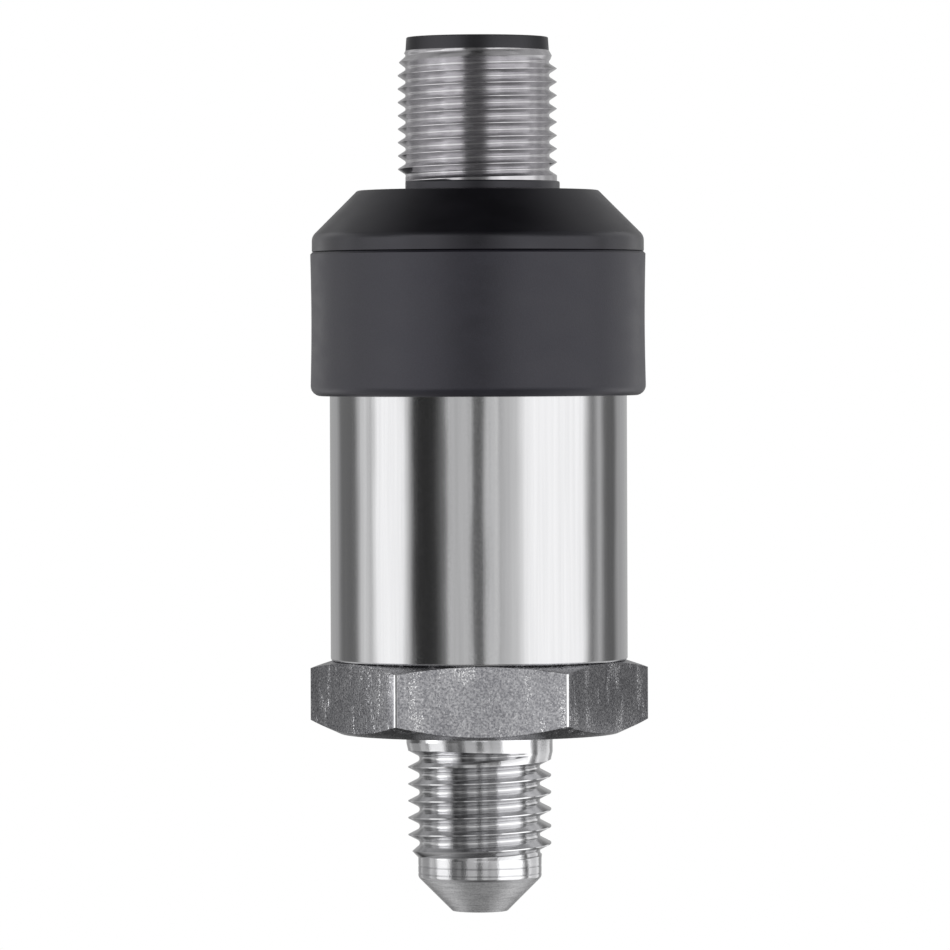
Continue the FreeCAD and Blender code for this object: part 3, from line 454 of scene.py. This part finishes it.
stem_tooth = tooth_outline(
    STEM_CREST, STEM_ROOT, STEM_CREST_HEIGHT, STEM_CREST_WIDTH, STEM_PITCH, STEM_FLANK, root_steps=10)
connection = wound_thread(
    "turned_connection", stem_tooth, STEM_PITCH, STEM_FIRST_TURN, STEM_TURNS, sides=STEM_SIDES)
reshape(connection, stem_limit)
clean_skin()
select_ring(connection, PILOT_START)
tool_marks = []
for height in PILOT_MARKS:
    tool_marks += [
        (PILOT, height + PILOT_MARK_HALF),
        (PILOT - PILOT_MARK, height + PILOT_MARK_FLOOR_HALF),
        (PILOT - PILOT_MARK, height - PILOT_MARK_FLOOR_HALF),
        (PILOT, height - PILOT_MARK_HALF),
    ]
grow_rings([
    (PILOT, PILOT_START),
    *tool_marks,
    *rounded((PILOT, 0), (PILOT, PILOT_END), (NOSE_FACE, NOSE_END), PILOT_ROUND),
    *rounded((PILOT, PILOT_END), (NOSE_FACE, NOSE_END), (0, NOSE_END), NOSE_ROUND),
    *rounded((NOSE_FACE, NOSE_END), (PORT, NOSE_END), (PORT, 0), PORT_ROUND),
    (PORT, STEM_TOP),
    (NECK, STEM_TOP),
])
close_and_smooth()

# The hexagon starts as a turned ring with both chamfers. Round each corner one plane cuts the flat beside
# it and three more round the corner itself; each tilt is the plane's turn from the corner.
past_corner = HEX_CORNER + HEX_SPARE
top_drop = (past_corner - HEX_TOP_FACE) * math.tan(HEX_TOP_SLOPE)
bottom_rise = (past_corner - HEX_BOTTOM_FACE) * math.tan(HEX_BOTTOM_SLOPE)
hexagon = turned("hexagon", [
    (PORT, 0),
    (HEX_BOTTOM_FACE, 0),
    (past_corner, bottom_rise),
    (past_corner, HEX_TOP - top_drop),
    (HEX_TOP_FACE, HEX_TOP),
    (PORT, HEX_TOP),
    (PORT, 0),
], sides=HEX_SIDES)
edge_middle = HEX_CORNER - HEX_EDGE / math.cos(math.radians(30))
bpy.ops.object.mode_set(mode="EDIT")
for side in range(6):
    for tilt in HEX_TILTS:
        bearing = math.radians(60 * side + 30 + tilt)
        outwards = Vector((math.sin(bearing), -math.cos(bearing), 0))
        reach = edge_middle * math.cos(math.radians(tilt)) + HEX_EDGE
        bpy.ops.mesh.select_all(action="SELECT")
        bpy.ops.mesh.bisect(
            plane_co=outwards * reach, plane_no=outwards, use_fill=True, clear_outer=True,
            threshold=SAME_PLANE)
close_and_smooth()
seat = turned("seat", [
    (PORT, STEM_TOP),
    (SPIGOT, STEM_TOP),
    (SPIGOT, SPIGOT_TOP),
    (BOSS, SPIGOT_TOP),
    (BOSS, BOSS_TOP),
    (PORT, BOSS_TOP),
    (PORT, STEM_TOP),
])
for part in (hexagon, seat, connection):
    part.select_set(True)
bpy.context.view_layer.objects.active = connection
bpy.ops.object.join()
bpy.ops.object.shade_smooth_by_angle(angle=CONNECTION_SHARP)


def new_finish(name, metallic):
    """A new material with its node tree, its shader and a point's place on the object."""
    material = bpy.data.materials.new(name)
    material.use_nodes = True
    tree = material.node_tree
    shader = tree.nodes["Principled BSDF"]
    shader.inputs["Metallic"].default_value = metallic
    place = tree.nodes.new("ShaderNodeTexCoord").outputs["Object"]
    return material, tree, shader, place


def grain(tree, place, size, stretch=(1, 1, 1), detail=2.0):
    """Noise whose grains are about size wide, drawn out along the axes whose stretch is large."""
    mapping = tree.nodes.new("ShaderNodeMapping")
    mapping.inputs["Scale"].default_value = [1 / (size * share) for share in stretch]
    tree.links.new(place, mapping.inputs["Vector"])
    noise = tree.nodes.new("ShaderNodeTexNoise")
    noise.inputs["Scale"].default_value = 1.0
    noise.inputs["Detail"].default_value = detail
    tree.links.new(mapping.outputs["Vector"], noise.inputs["Vector"])
    return noise.outputs["Fac"]


def spread(tree, source, low, high):
    """Stretches the middle of a noise's range to run from low to high."""
    node = tree.nodes.new("ShaderNodeMapRange")
    tree.links.new(source, node.inputs["Value"])
    node.inputs["From Min"].default_value = 0.3
    node.inputs["From Max"].default_value = 0.7
    node.inputs["To Min"].default_value = low
    node.inputs["To Max"].default_value = high
    return node.outputs["Result"]


def weighted_sum(tree, *parts):
    """The sum of outputs, each given with its weight."""
    total = None
    for source, weight in parts:
        part = calculate(tree, "MULTIPLY", source, weight)
        total = part if total is None else calculate(tree, "ADD", total, part)
    return total


def feed(tree, shader, colour, gloss):
    """Links the outputs for a shader's colour and roughness."""
    tree.links.new(colour, shader.inputs["Base Color"])
    tree.links.new(gloss, shader.inputs["Roughness"])


def raise_surface(tree, shader, heights, before=None):
    """Adds bump to a shader from a pair of heights and their depth, over an earlier bump if given."""
    source, depth = heights
    bump = tree.nodes.new("ShaderNodeBump")
    bump.inputs["Strength"].default_value = 1.0
    bump.inputs["Distance"].default_value = depth
    tree.links.new(source, bump.inputs["Height"])
    if before:
        tree.links.new(before, bump.inputs["Normal"])
    tree.links.new(bump.outputs["Normal"], shader.inputs["Normal"])
    return bump.outputs["Normal"]


def blasted_steel():
    """The hexagon's dull skin, pitted all over by blasting, with bright specks in streaks."""
    material, tree, shader, place = new_finish("blasted_steel", 1.0)
    pits = grain(tree, place, 0.13 * MM, detail=1.5)
    clouds = grain(tree, place, 1.3 * MM, stretch=(1, 1, 3))
    streaks = grain(tree, place, 0.9 * MM, stretch=(1, 1, 4), detail=3.0)
    specks = between(tree, grain(tree, place, 0.09 * MM, stretch=(1, 1, 1.6), detail=1.0), 0.54, 0.62)
    specks = calculate(tree, "MULTIPLY", specks, between(tree, streaks, 0.55, 0.66))
    shade = weighted_sum(tree, (pits, 0.8), (clouds, 0.2), (specks, 0.30))
    colour = ramp(tree, shade, [
        (0.36, (0.25, 0.25, 0.27)), (0.62, (0.53, 0.53, 0.55)), (0.80, (0.95, 0.95, 0.96))])
    shine = calculate(tree, "MULTIPLY", specks, 0.12)
    feed(tree, shader, colour, calculate(tree, "SUBTRACT", spread(tree, pits, 0.25, 0.31), shine))
    below = raise_surface(tree, shader, (pits, 0.006 * MM))
    raise_surface(tree, shader, (specks, 0.030 * MM), below)
    return material


def bright_steel():
    """Turned steel with faint rings left by the tool."""
    material, tree, shader, place = new_finish("bright_steel", 1.0)
    rings = grain(tree, place, 0.07 * MM, stretch=(150, 150, 1))
    smears = grain(tree, place, 0.8 * MM, stretch=(3, 3, 1))
    specks = grain(tree, place, 0.11 * MM, detail=3.0)
    colour = ramp(tree, smears, [(0.3, (0.50, 0.50, 0.51)), (0.7, (0.60, 0.60, 0.61))])
    feed(tree, shader, colour, spread(tree, smears, 0.07, 0.17))
    below = raise_surface(tree, shader, (rings, 0.0022 * MM))
    raise_surface(tree, shader, (specks, 0.0045 * MM), below)
    return material


def ground_steel():
    """The sealing cone's fine matt skin, scored here and there round the cone."""
    material, tree, shader, place = new_finish("ground_steel", 1.0)
    specks = grain(tree, place, 0.10 * MM, detail=3.0)
    scores = grain(tree, place, 0.12 * MM, stretch=(12, 12, 1))
    shade = weighted_sum(tree, (specks, 0.6), (scores, 0.4))
    colour = ramp(tree, shade, [(0.36, (0.54, 0.54, 0.55)), (0.62, (0.90, 0.90, 0.91))])
    feed(tree, shader, colour, spread(tree, specks, 0.28, 0.40))
    raise_surface(tree, shader, (shade, 0.010 * MM))
    return material


connection.data.materials.clear()
for finish in (blasted_steel(), bright_steel(), ground_steel()):
    connection.data.materials.append(finish)
BLASTED, BRIGHT, GROUND = range(3)
for face in connection.data.polygons:
    middle = math.hypot(face.center.x, face.center.y)
    on_stem = face.center.z < SAME_HEIGHT and middle < HEX_BOTTOM_FACE
    on_worn_edge = middle > HEX_CORNER - WORN_EDGE and abs(face.normal.z) < UPRIGHT
    face.material_index = BRIGHT if on_stem or on_worn_edge else BLASTED
    if face.center.z < CONE_START:
        face.material_index = GROUND
aim_boxes(stem_boxes, [connection])
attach(connection, "root")
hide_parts("process_connection")


# Measuring cell and what is bonded to it: a machined steel cup, a silicon strain gauge fused on with
# glass, and gold-plated ribbons. All of it sits inside the case and isn't seen.
def plain_finish(name, colour, roughness, metallic, size, bump, variation=0.15):
    """A finish with fine grain in colour, gloss and surface, for moulded, plated or rolled pieces."""
    material, tree, shader, place = new_finish(name, metallic)
    specks = grain(tree, place, size)
    dark = tuple(part * (1 - variation) for part in colour)
    light = tuple(min(part * (1 + variation), 1) for part in colour)
    gloss = spread(tree, specks, roughness * 0.85, min(roughness * 1.15, 1.0))
    feed(tree, shader, ramp(tree, specks, [(0.3, dark), (0.7, light)]), gloss)
    raise_surface(tree, shader, (specks, bump))
    return material


def dress(node_names, material):
    """Gives CAD nodes a material."""
    for name in node_names:
        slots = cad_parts[name].data.materials
        slots.clear()
        slots.append(material)


dress(["measuring_cell"], plain_finish("cell_steel", (0.60, 0.60, 0.60), 0.28, 1.0, 0.2 * MM, 0.002 * MM))
dress(["gauge_chip"], plain_finish("gauge_silicon", (0.09, 0.10, 0.12), 0.20, 0.0, 0.3 * MM, 0.001 * MM))
dress(["gauge_leads"], plain_finish("gold_ribbon", (0.90, 0.62, 0.25), 0.25, 1.0, 0.1 * MM, 0.001 * MM))

# Boards and what carries them: a moulded carrier stands on the connection's spigot and holds the upright
# main board in its grooves; a printed foil brings the cell's signal up to it. Sealed inside, not seen.
carrier_plastic = plain_finish("carrier_plastic", (0.045, 0.045, 0.05), 0.5, 0.0, 0.15 * MM, 0.006 * MM)
board_green = plain_finish("board_green", (0.02, 0.11, 0.05), 0.35, 0.0, 0.5 * MM, 0.004 * MM)
chip_black = plain_finish("chip_black", (0.02, 0.02, 0.022), 0.45, 0.0, 0.08 * MM, 0.003 * MM)
dress(["cell_ring", "board_carrier"], carrier_plastic)
dress(["contact_board", "main_board", "connector_board"], board_green)
dress(["signal_chip", "output_chip"], chip_black)
dress(["sensor_flex"], plain_finish("copper_foil", (0.55, 0.22, 0.06), 0.4, 0.0, 0.4 * MM, 0.002 * MM))
dress(["board_capacitors"], plain_finish("ceramic", (0.42, 0.30, 0.18), 0.5, 0.0, 0.1 * MM, 0.003 * MM))
dress(["board_resistors"], plain_finish("resistor_film", (0.03, 0.03, 0.04), 0.3, 0.0, 0.1 * MM, 0.002 * MM))
dress(["surge_diodes"], plain_finish("diode_body", (0.03, 0.03, 0.03), 0.4, 0.0, 0.1 * MM, 0.003 * MM))
dress(["board_socket"], plain_finish("socket_plastic", (0.03, 0.03, 0.035), 0.5, 0.0, 0.1 * MM, 0.004 * MM))
dress(["board_links"], plain_finish("link_gold", (0.90, 0.65, 0.28), 0.25, 1.0, 0.1 * MM, 0.001 * MM))

# Seals: black rubber rings pressed into the grooves of the ring, the cap and round the sleeve.
dress(["case_seal", "cap_seal", "sleeve_seal"],
      plain_finish("seal_rubber", (0.018, 0.018, 0.018), 0.6, 0.0, 0.1 * MM, 0.004 * MM))

# Case: a drawn stainless tube, polished along its length, welded to the hexagon at a small rounded foot
# and rolled inwards at its top, where the cap's plug snaps under the lip.
CASE = case_high.x
CASE_BORE = CASE - 0.6 * MM
CASE_LIP = CASE_BORE - 0.55 * MM
CASE_LIP_THICKNESS = 0.6 * MM
CASE_FOOT_ROUND = 0.2 * MM
FINE_SIDES = 256

case_foot = (CASE, case_low.z)
case = turned("polished_case", [
    (CASE_BORE, case_low.z),
    *rounded((CASE_BORE, case_low.z), case_foot, (CASE, case_high.z), CASE_FOOT_ROUND),
    (CASE, case_high.z),
    (CASE_LIP, case_high.z),
    (CASE_LIP, case_high.z - CASE_LIP_THICKNESS),
    (CASE_BORE, case_high.z - CASE_LIP_THICKNESS),
    (CASE_BORE, case_low.z),
], sides=FINE_SIDES)


def polished_steel():
    """Bright drawn steel: faint marks along the tube over slow waves in its wall."""
    material, tree, shader, place = new_finish("polished_steel", 1.0)
    draws = grain(tree, place, 0.35 * MM, stretch=(1, 1, 60))
    specks = grain(tree, place, 0.12 * MM, detail=3.0)
    waves = grain(tree, place, 3.5 * MM, stretch=(1, 1, 2.5), detail=1.0)
    colour = ramp(tree, draws, [(0.3, (0.69, 0.69, 0.70)), (0.7, (0.75, 0.75, 0.76))])
    feed(tree, shader, colour, spread(tree, specks, 0.11, 0.17))
    below = raise_surface(tree, shader, (waves, 0.04 * MM))
    below = raise_surface(tree, shader, (draws, 0.0012 * MM), below)
    raise_surface(tree, shader, (specks, 0.0006 * MM), below)
    return material


case.data.materials.append(polished_steel())
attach(case, "root")
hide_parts("case_tube")

# Head ring: dark grey glass-filled plastic, moulded with a fine matt skin. It slides over the case until
# its shoulder rests on the case's top, and its outer wall has sunk in a hair between its ends.
ring_low, ring_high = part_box("head_ring")
RING = ring_high.x
RING_BORE = CASE + 0.05 * MM
RING_SHOULDER = RING - 2.25 * MM
RING_FOOT_ROUND = 0.75 * MM
RING_EDGE = 0.15 * MM
RING_SINK = 0.07 * MM
GLOSS_CHANGE = 0.04
CASE_SEAL = case_high.z - 4.0 * MM
CASE_SEAL_HALF = 0.5 * MM
CASE_SEAL_GROOVE = CASE + 0.8 * MM
RING_WALL_STEPS = 10

ring_foot = (RING, ring_low.z)
wall_start = ring_low.z + RING_FOOT_ROUND
wall_end = ring_high.z - RING_EDGE
ring_wall = []
for step in range(1, RING_WALL_STEPS):
    share = step / RING_WALL_STEPS
    sunk = RING_SINK * math.sin(math.pi * share)
    ring_wall.append((RING - sunk, wall_start + (wall_end - wall_start) * share))
ring = turned("moulded_ring", [
    (RING_BORE, ring_low.z),
    *rounded((RING_BORE, ring_low.z), ring_foot, (RING, ring_high.z), RING_FOOT_ROUND),
    *ring_wall,
    (RING, wall_end),
    (RING - RING_EDGE, ring_high.z),
    (RING_SHOULDER, ring_high.z),
    (RING_SHOULDER, case_high.z),
    (RING_BORE, case_high.z),
    (RING_BORE, CASE_SEAL + CASE_SEAL_HALF),
    (CASE_SEAL_GROOVE, CASE_SEAL + CASE_SEAL_HALF),
    (CASE_SEAL_GROOVE, CASE_SEAL - CASE_SEAL_HALF),
    (RING_BORE, CASE_SEAL - CASE_SEAL_HALF),
    (RING_BORE, ring_low.z),
], sides=FINE_SIDES)


def moulded_plastic(name, dark, light, roughness, size, depth):
    """Moulded plastic with a spark-eroded skin: fine grain over slow changes of gloss."""
    material, tree, shader, place = new_finish(name, 0.0)
    skin = grain(tree, place, size, detail=3.0)
    flow = grain(tree, place, 3.0 * MM, stretch=(1, 1, 0.5))
    shade = weighted_sum(tree, (skin, 0.5), (flow, 0.5))
    gloss = spread(tree, flow, roughness - GLOSS_CHANGE, roughness + GLOSS_CHANGE)
    feed(tree, shader, ramp(tree, shade, [(0.35, dark), (0.65, light)]), gloss)
    shader.inputs["Specular IOR Level"].default_value = 0.7
    shader.inputs["Specular Tint"].default_value = (0.92, 0.91, 1.0, 1)
    raise_surface(tree, shader, (skin, depth))
    return material


ring.data.materials.append(moulded_plastic(
    "ring_plastic", (0.015, 0.0145, 0.022), (0.024, 0.023, 0.034), 0.40, 0.12 * MM, 0.006 * MM))
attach(ring, "root")
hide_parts("head_ring")

# Head cap: black plastic, moulded with a bevelled crown, a low collar for the connector and a plug that
# snaps under the case's lip. Seals sit in its two grooves.
cap_low, cap_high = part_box("head_cap")
CAP = cap_high.x
CAP_FOOT = ring_high.z
CAP_EDGE = 0.08 * MM
CAP_WALL_TOP = CAP_FOOT + 1.19 * MM
CAP_TOP = CAP_FOOT + 4.6 * MM
CAP_CROWN = CAP - (CAP_TOP - CAP_WALL_TOP)
CAP_SHOULDER_ROUND = 0.83 * MM
CAP_TOP_ROUND = 0.25 * MM
COLLAR = 6.15 * MM
COLLAR_TOP = cap_high.z
COLLAR_ROUND = 0.12 * MM
COLLAR_FLAT = 5.4 * MM
SLEEVE_HOLE = 5.15 * MM
SLEEVE_SEAL = COLLAR_TOP - 1.6 * MM
SLEEVE_SEAL_HALF = 0.5 * MM
SLEEVE_SEAL_GROOVE = 5.9 * MM
SLEEVE_POCKET = 7.05 * MM
ROOF = CAP_FOOT + 1.0 * MM
POCKET_TOP = ROOF + 1.5 * MM
PLUG = CASE_LIP - 0.05 * MM
PLUG_BORE = PLUG - 1.35 * MM
PLUG_HOOK = PLUG + 0.35 * MM
HOOK_LEAD = 0.9 * MM
HOOK_TOP = case_high.z - CASE_LIP_THICKNESS - 0.05 * MM
CAP_SEAL = CAP_FOOT - 1.5 * MM
CAP_SEAL_HALF = 0.65 * MM
CAP_SEAL_GROOVE = RING_SHOULDER - 1.1 * MM


def flatten(radius, turn):
    """The radius, cut back to the flat where it lies within 60 degrees of the left side."""
    towards_flat = -math.cos(turn * 2 * math.pi)
    if towards_flat > 0.5:
        radius = min(radius, COLLAR_FLAT / towards_flat)
    return radius


def cap_limit(radius, height, turn):
    """The flat on the collar's left side; the rest of the cap stays as turned."""
    return flatten(radius, turn) if height > CAP_TOP else radius, height


shoulder = (CAP, CAP_WALL_TOP)
crown = (CAP_CROWN, CAP_TOP)
cap = turned("moulded_cap", [
    (PLUG_BORE, cap_low.z),
    (PLUG, cap_low.z),
    (PLUG_HOOK, cap_low.z + HOOK_LEAD),
    (PLUG_HOOK, HOOK_TOP),
    (PLUG, HOOK_TOP),
    (PLUG, CAP_SEAL - CAP_SEAL_HALF),
    (CAP_SEAL_GROOVE, CAP_SEAL - CAP_SEAL_HALF),
    (CAP_SEAL_GROOVE, CAP_SEAL + CAP_SEAL_HALF),
    (PLUG, CAP_SEAL + CAP_SEAL_HALF),
    (PLUG, CAP_FOOT),
    (CAP - CAP_EDGE, CAP_FOOT),
    (CAP, CAP_FOOT + CAP_EDGE),
    *rounded((CAP, CAP_FOOT), shoulder, crown, CAP_SHOULDER_ROUND, steps=10),
    *rounded(shoulder, crown, (COLLAR, CAP_TOP), CAP_TOP_ROUND),
    *rounded(crown, (COLLAR, CAP_TOP), (COLLAR, COLLAR_TOP), COLLAR_ROUND, steps=4),
    *rounded((COLLAR, CAP_TOP), (COLLAR, COLLAR_TOP), (0, COLLAR_TOP), COLLAR_ROUND, steps=4),
    (SLEEVE_HOLE, COLLAR_TOP),
    (SLEEVE_HOLE, SLEEVE_SEAL + SLEEVE_SEAL_HALF),
    (SLEEVE_SEAL_GROOVE, SLEEVE_SEAL + SLEEVE_SEAL_HALF),
    (SLEEVE_SEAL_GROOVE, SLEEVE_SEAL - SLEEVE_SEAL_HALF),
    (SLEEVE_HOLE, SLEEVE_SEAL - SLEEVE_SEAL_HALF),
    (SLEEVE_HOLE, POCKET_TOP),
    (SLEEVE_POCKET, POCKET_TOP),
    (SLEEVE_POCKET, ROOF),
    (PLUG_BORE, ROOF),
    (PLUG_BORE, cap_low.z),
], sides=FINE_SIDES)
reshape(cap, cap_limit)
bpy.ops.object.shade_smooth_by_angle(angle=SHARP)
cap.data.materials.append(moulded_plastic(
    "cap_plastic", (0.002, 0.0018, 0.004), (0.005, 0.0045, 0.009), 0.32, 0.10 * MM, 0.004 * MM))
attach(cap, "root")
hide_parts("head_cap")

# Connector sleeve: brass, nickel-plated satin, with the outside thread for the plug's union nut. A flange
# at its foot sits in the cap's pocket, and its first turn is bevelled for the nut to start on.
sleeve_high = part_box("connector_sleeve")[1]
insert_low, insert_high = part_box("connector_insert")
SLEEVE = 5.95 * MM
SLEEVE_ROOT = 5.38 * MM
SLEEVE_NECK = 5.1 * MM
SLEEVE_BORE = 4.7 * MM
SLEEVE_FLANGE = sleeve_high.x
SLEEVE_TOP = sleeve_high.z
SLEEVE_EDGE_WIDTH = 0.57 * MM
SLEEVE_EDGE_HEIGHT = 1.05 * MM
SLEEVE_PITCH = 1.0 * MM
SLEEVE_CREST_HEIGHT = 45.70 * MM
SLEEVE_CREST_WIDTH = 0.05 * MM
SLEEVE_FLANK = math.radians(33)
SLEEVE_FIRST_TURN = -7
SLEEVE_TURNS = 15
SLEEVE_GROOVE_START = -4.6
SLEEVE_GROOVE_FADE = 0.2
SLEEVE_FLAT_TOP = 41.7 * MM
SLEEVE_TUCK = 0.35 * MM
SLEEVE_TUCK_END = 1.6


def sleeve_limit(radius, height, turn):
    """The sleeve's thread: bevelled at its top; its groove fades out at its foot, which has the flat
    and is drawn in to the neck below the collar's top, over one tuck that ends 1.6 tucks down."""
    place = turn + math.floor((height - SLEEVE_CREST_HEIGHT) / SLEEVE_PITCH - turn)
    depth = min(max((place - SLEEVE_GROOVE_START) / SLEEVE_GROOVE_FADE + 1, 0), 1)
    depth = depth * depth * (3 - 2 * depth)
    radius = SLEEVE - (SLEEVE - radius) * depth
    if height < SLEEVE_FLAT_TOP:
        radius = flatten(radius, turn)
    slope = SLEEVE_EDGE_WIDTH / SLEEVE_EDGE_HEIGHT
    radius = min(radius, SLEEVE - SLEEVE_EDGE_WIDTH + max(SLEEVE_TOP - height, 0) * slope)
    if height >= SLEEVE_TOP:
        radius = SLEEVE - SLEEVE_EDGE_WIDTH
    if height < COLLAR_TOP:
        share = min(max(SLEEVE_TUCK_END - (COLLAR_TOP - height) / SLEEVE_TUCK, 0), 1)
        radius = SLEEVE_NECK + (radius - SLEEVE_NECK) * share
    return radius, min(max(height, COLLAR_TOP), SLEEVE_TOP)


sleeve_tooth = tooth_outline(
    SLEEVE, SLEEVE_ROOT, SLEEVE_CREST_HEIGHT, SLEEVE_CREST_WIDTH, SLEEVE_PITCH, SLEEVE_FLANK)
sleeve = wound_thread("threaded_sleeve", sleeve_tooth, SLEEVE_PITCH, SLEEVE_FIRST_TURN, SLEEVE_TURNS)
reshape(sleeve, sleeve_limit)
clean_skin()
select_ring(sleeve, SLEEVE_TOP)
grow_rings([
    (SLEEVE - SLEEVE_EDGE_WIDTH, SLEEVE_TOP),
    (SLEEVE_BORE, SLEEVE_TOP),
    (SLEEVE_BORE, ROOF),
    (SLEEVE_FLANGE, ROOF),
    (SLEEVE_FLANGE, POCKET_TOP),
    (SLEEVE_NECK, POCKET_TOP),
    (SLEEVE_NECK, COLLAR_TOP),
])
close_and_smooth()


def nickel_plate():
    """Satin nickel, faintly streaked along the turns of the thread."""
    material, tree, shader, place = new_finish("nickel_plate", 1.0)
    streaks = grain(tree, place, 0.10 * MM, stretch=(20, 20, 1))
    patches = grain(tree, place, 1.2 * MM)
    colour = ramp(tree, patches, [(0.3, (0.56, 0.55, 0.57)), (0.7, (0.66, 0.65, 0.67))])
    feed(tree, shader, colour, spread(tree, streaks, 0.16, 0.26))
    raise_surface(tree, shader, (streaks, 0.003 * MM))
    return material


sleeve.data.materials.append(nickel_plate())
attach(sleeve, "root")
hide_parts("connector_sleeve")

# Contact carrier: black plastic, moulded as a cup with a coding key, pressed up into the sleeve so that
# its rim stands proud of the metal. The contact pins are pressed through its floor.
INSERT = SLEEVE_BORE - 0.05 * MM
INSERT_BEAD = INSERT + 0.2 * MM
INSERT_BEAD_HEIGHT = 0.3 * MM
INSERT_SIDES = 192
RIM_FOOT = 5.37 * MM
RIM_TOP = 5.3 * MM
RIM_ROUND = 0.08 * MM
CAVITY = 4.25 * MM
CAVITY_FLOOR = insert_high.z - 8.8 * MM
CAVITY_ROUND = 0.1 * MM
KEY_WIDTH = 2.0 * MM
KEY_REACH = 0.75 * MM
KEY_DROP = 0.6 * MM
KEY_ROOT = 0.2 * MM
KEY_EDGE = 0.12 * MM
PIN = 0.5 * MM
PIN_ROW = 2.5 * MM
PIN_BEARINGS = [math.radians(45 + 90 * number) for number in range(4)]
PIN_SPOTS = [(PIN_ROW * math.cos(bearing), PIN_ROW * math.sin(bearing)) for bearing in PIN_BEARINGS]
PIN_COLLAR = 0.75 * MM
PIN_COLLAR_HEIGHT = 0.6 * MM
PIN_SIDES = 32
DRILL_SPARE = 1.0 * MM


def combine(piece, tool, operation):
    """Joins the tool to the piece or cuts it away, and removes the tool."""
    bpy.ops.object.select_all(action="DESELECT")
    piece.select_set(True)
    bpy.context.view_layer.objects.active = piece
    step = piece.modifiers.new(operation.lower(), "BOOLEAN")
    step.operation = operation
    step.object = tool
    step.solver = "EXACT"
    bpy.ops.object.modifier_apply(modifier=step.name)
    bpy.data.objects.remove(tool)


rim = (RIM_TOP, insert_high.z)
mouth = (CAVITY, insert_high.z)
insert = turned("contact_carrier", [
    (INSERT, insert_low.z),
    (INSERT_BEAD, ROOF - INSERT_BEAD_HEIGHT),
    (INSERT_BEAD, ROOF),
    (INSERT, ROOF),
    (INSERT, SLEEVE_TOP),
    (RIM_FOOT, SLEEVE_TOP),
    *rounded((RIM_FOOT, SLEEVE_TOP), rim, mouth, RIM_ROUND),
    *rounded(rim, mouth, (CAVITY, CAVITY_FLOOR), CAVITY_ROUND, steps=4),
    (CAVITY, CAVITY_FLOOR),
], sides=INSERT_SIDES, capped=True)
select_ring(insert, CAVITY_FLOOR)
bpy.ops.mesh.edge_face_add()
close_and_smooth()

key_top = insert_high.z - KEY_DROP
key_inner = CAVITY - KEY_REACH
key_outer = (CAVITY + INSERT) / 2
bpy.ops.mesh.primitive_cube_add(
    size=1, location=(0, (key_inner + key_outer) / 2, (CAVITY_FLOOR + key_top) / 2 - KEY_ROOT / 2),
    scale=(KEY_WIDTH, key_outer - key_inner, key_top - CAVITY_FLOOR + KEY_ROOT))
key = bpy.context.active_object
settle()
edit_whole()
bpy.ops.mesh.bevel(offset=KEY_EDGE, segments=3, affect="EDGES")
bpy.ops.object.mode_set(mode="OBJECT")
combine(insert, key, "UNION")
drill_low = insert_low.z - DRILL_SPARE
for spot in PIN_SPOTS:
    for radius, high in (
        (PIN, CAVITY_FLOOR + DRILL_SPARE),
        (PIN_COLLAR, insert_low.z + PIN_COLLAR_HEIGHT),
    ):
        bpy.ops.mesh.primitive_cylinder_add(
            vertices=PIN_SIDES, radius=radius, depth=high - drill_low,
            location=(*spot, (drill_low + high) / 2))
        drill = bpy.context.active_object
        settle()
        combine(insert, drill, "DIFFERENCE")
bpy.ops.object.shade_smooth_by_angle(angle=SHARP)
insert.data.materials.clear()
insert.data.materials.append(moulded_plastic(
    "carrier_black", (0.016, 0.016, 0.017), (0.024, 0.024, 0.026), 0.38, 0.10 * MM, 0.004 * MM))
aim_boxes(head_boxes, [ring, cap, sleeve, insert])
aim_boxes(wall_boxes, [ring, cap])
aim_boxes(front_boxes, [case, ring, cap, connection])
aim_boxes(sleeve_boxes, [sleeve])
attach(insert, "root")
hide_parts("connector_insert")

# Contact pins: turned brass, gold-plated, with a tapered tip, a collar under the carrier's floor and a
# thin tail soldered into the connector board.
PIN_TIP = 0.25 * MM
PIN_TIP_ROUND = 0.15 * MM
PIN_TIP_RINGS = (0.02 * MM, 0.0005 * MM)
PIN_TAPER = 0.5 * MM
PIN_TAPER_ROUND = 0.3 * MM
PIN_TAIL = 0.3 * MM
pin_low, pin_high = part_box("contact_pin_1")
taper_foot = (PIN, pin_high.z - PIN_TAPER)
tip = (PIN_TIP, pin_high.z)
gold_plate = plain_finish("gold_plate", (0.92, 0.68, 0.30), 0.22, 1.0, 0.2 * MM, 0.001 * MM, 0.06)
for number, spot in enumerate(PIN_SPOTS, start=1):
    pin = turned(f"plug_pin_{number}", [
        (PIN_TAIL, pin_low.z),
        (PIN_TAIL, insert_low.z),
        (PIN_COLLAR, insert_low.z),
        (PIN_COLLAR, insert_low.z + PIN_COLLAR_HEIGHT),
        (PIN, insert_low.z + PIN_COLLAR_HEIGHT),
        *rounded((PIN, 0), taper_foot, tip, PIN_TAPER_ROUND),
        *rounded(taper_foot, tip, (0, pin_high.z), PIN_TIP_ROUND),
        *((radius, pin_high.z) for radius in PIN_TIP_RINGS),
    ], sides=PIN_SIDES, capped=True)
    edit_whole()
    bpy.ops.transform.translate(value=(*spot, 0))
    bpy.ops.object.mode_set(mode="OBJECT")
    pin.data.materials.append(gold_plate)
    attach(pin, "root")
    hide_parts(f"contact_pin_{number}")
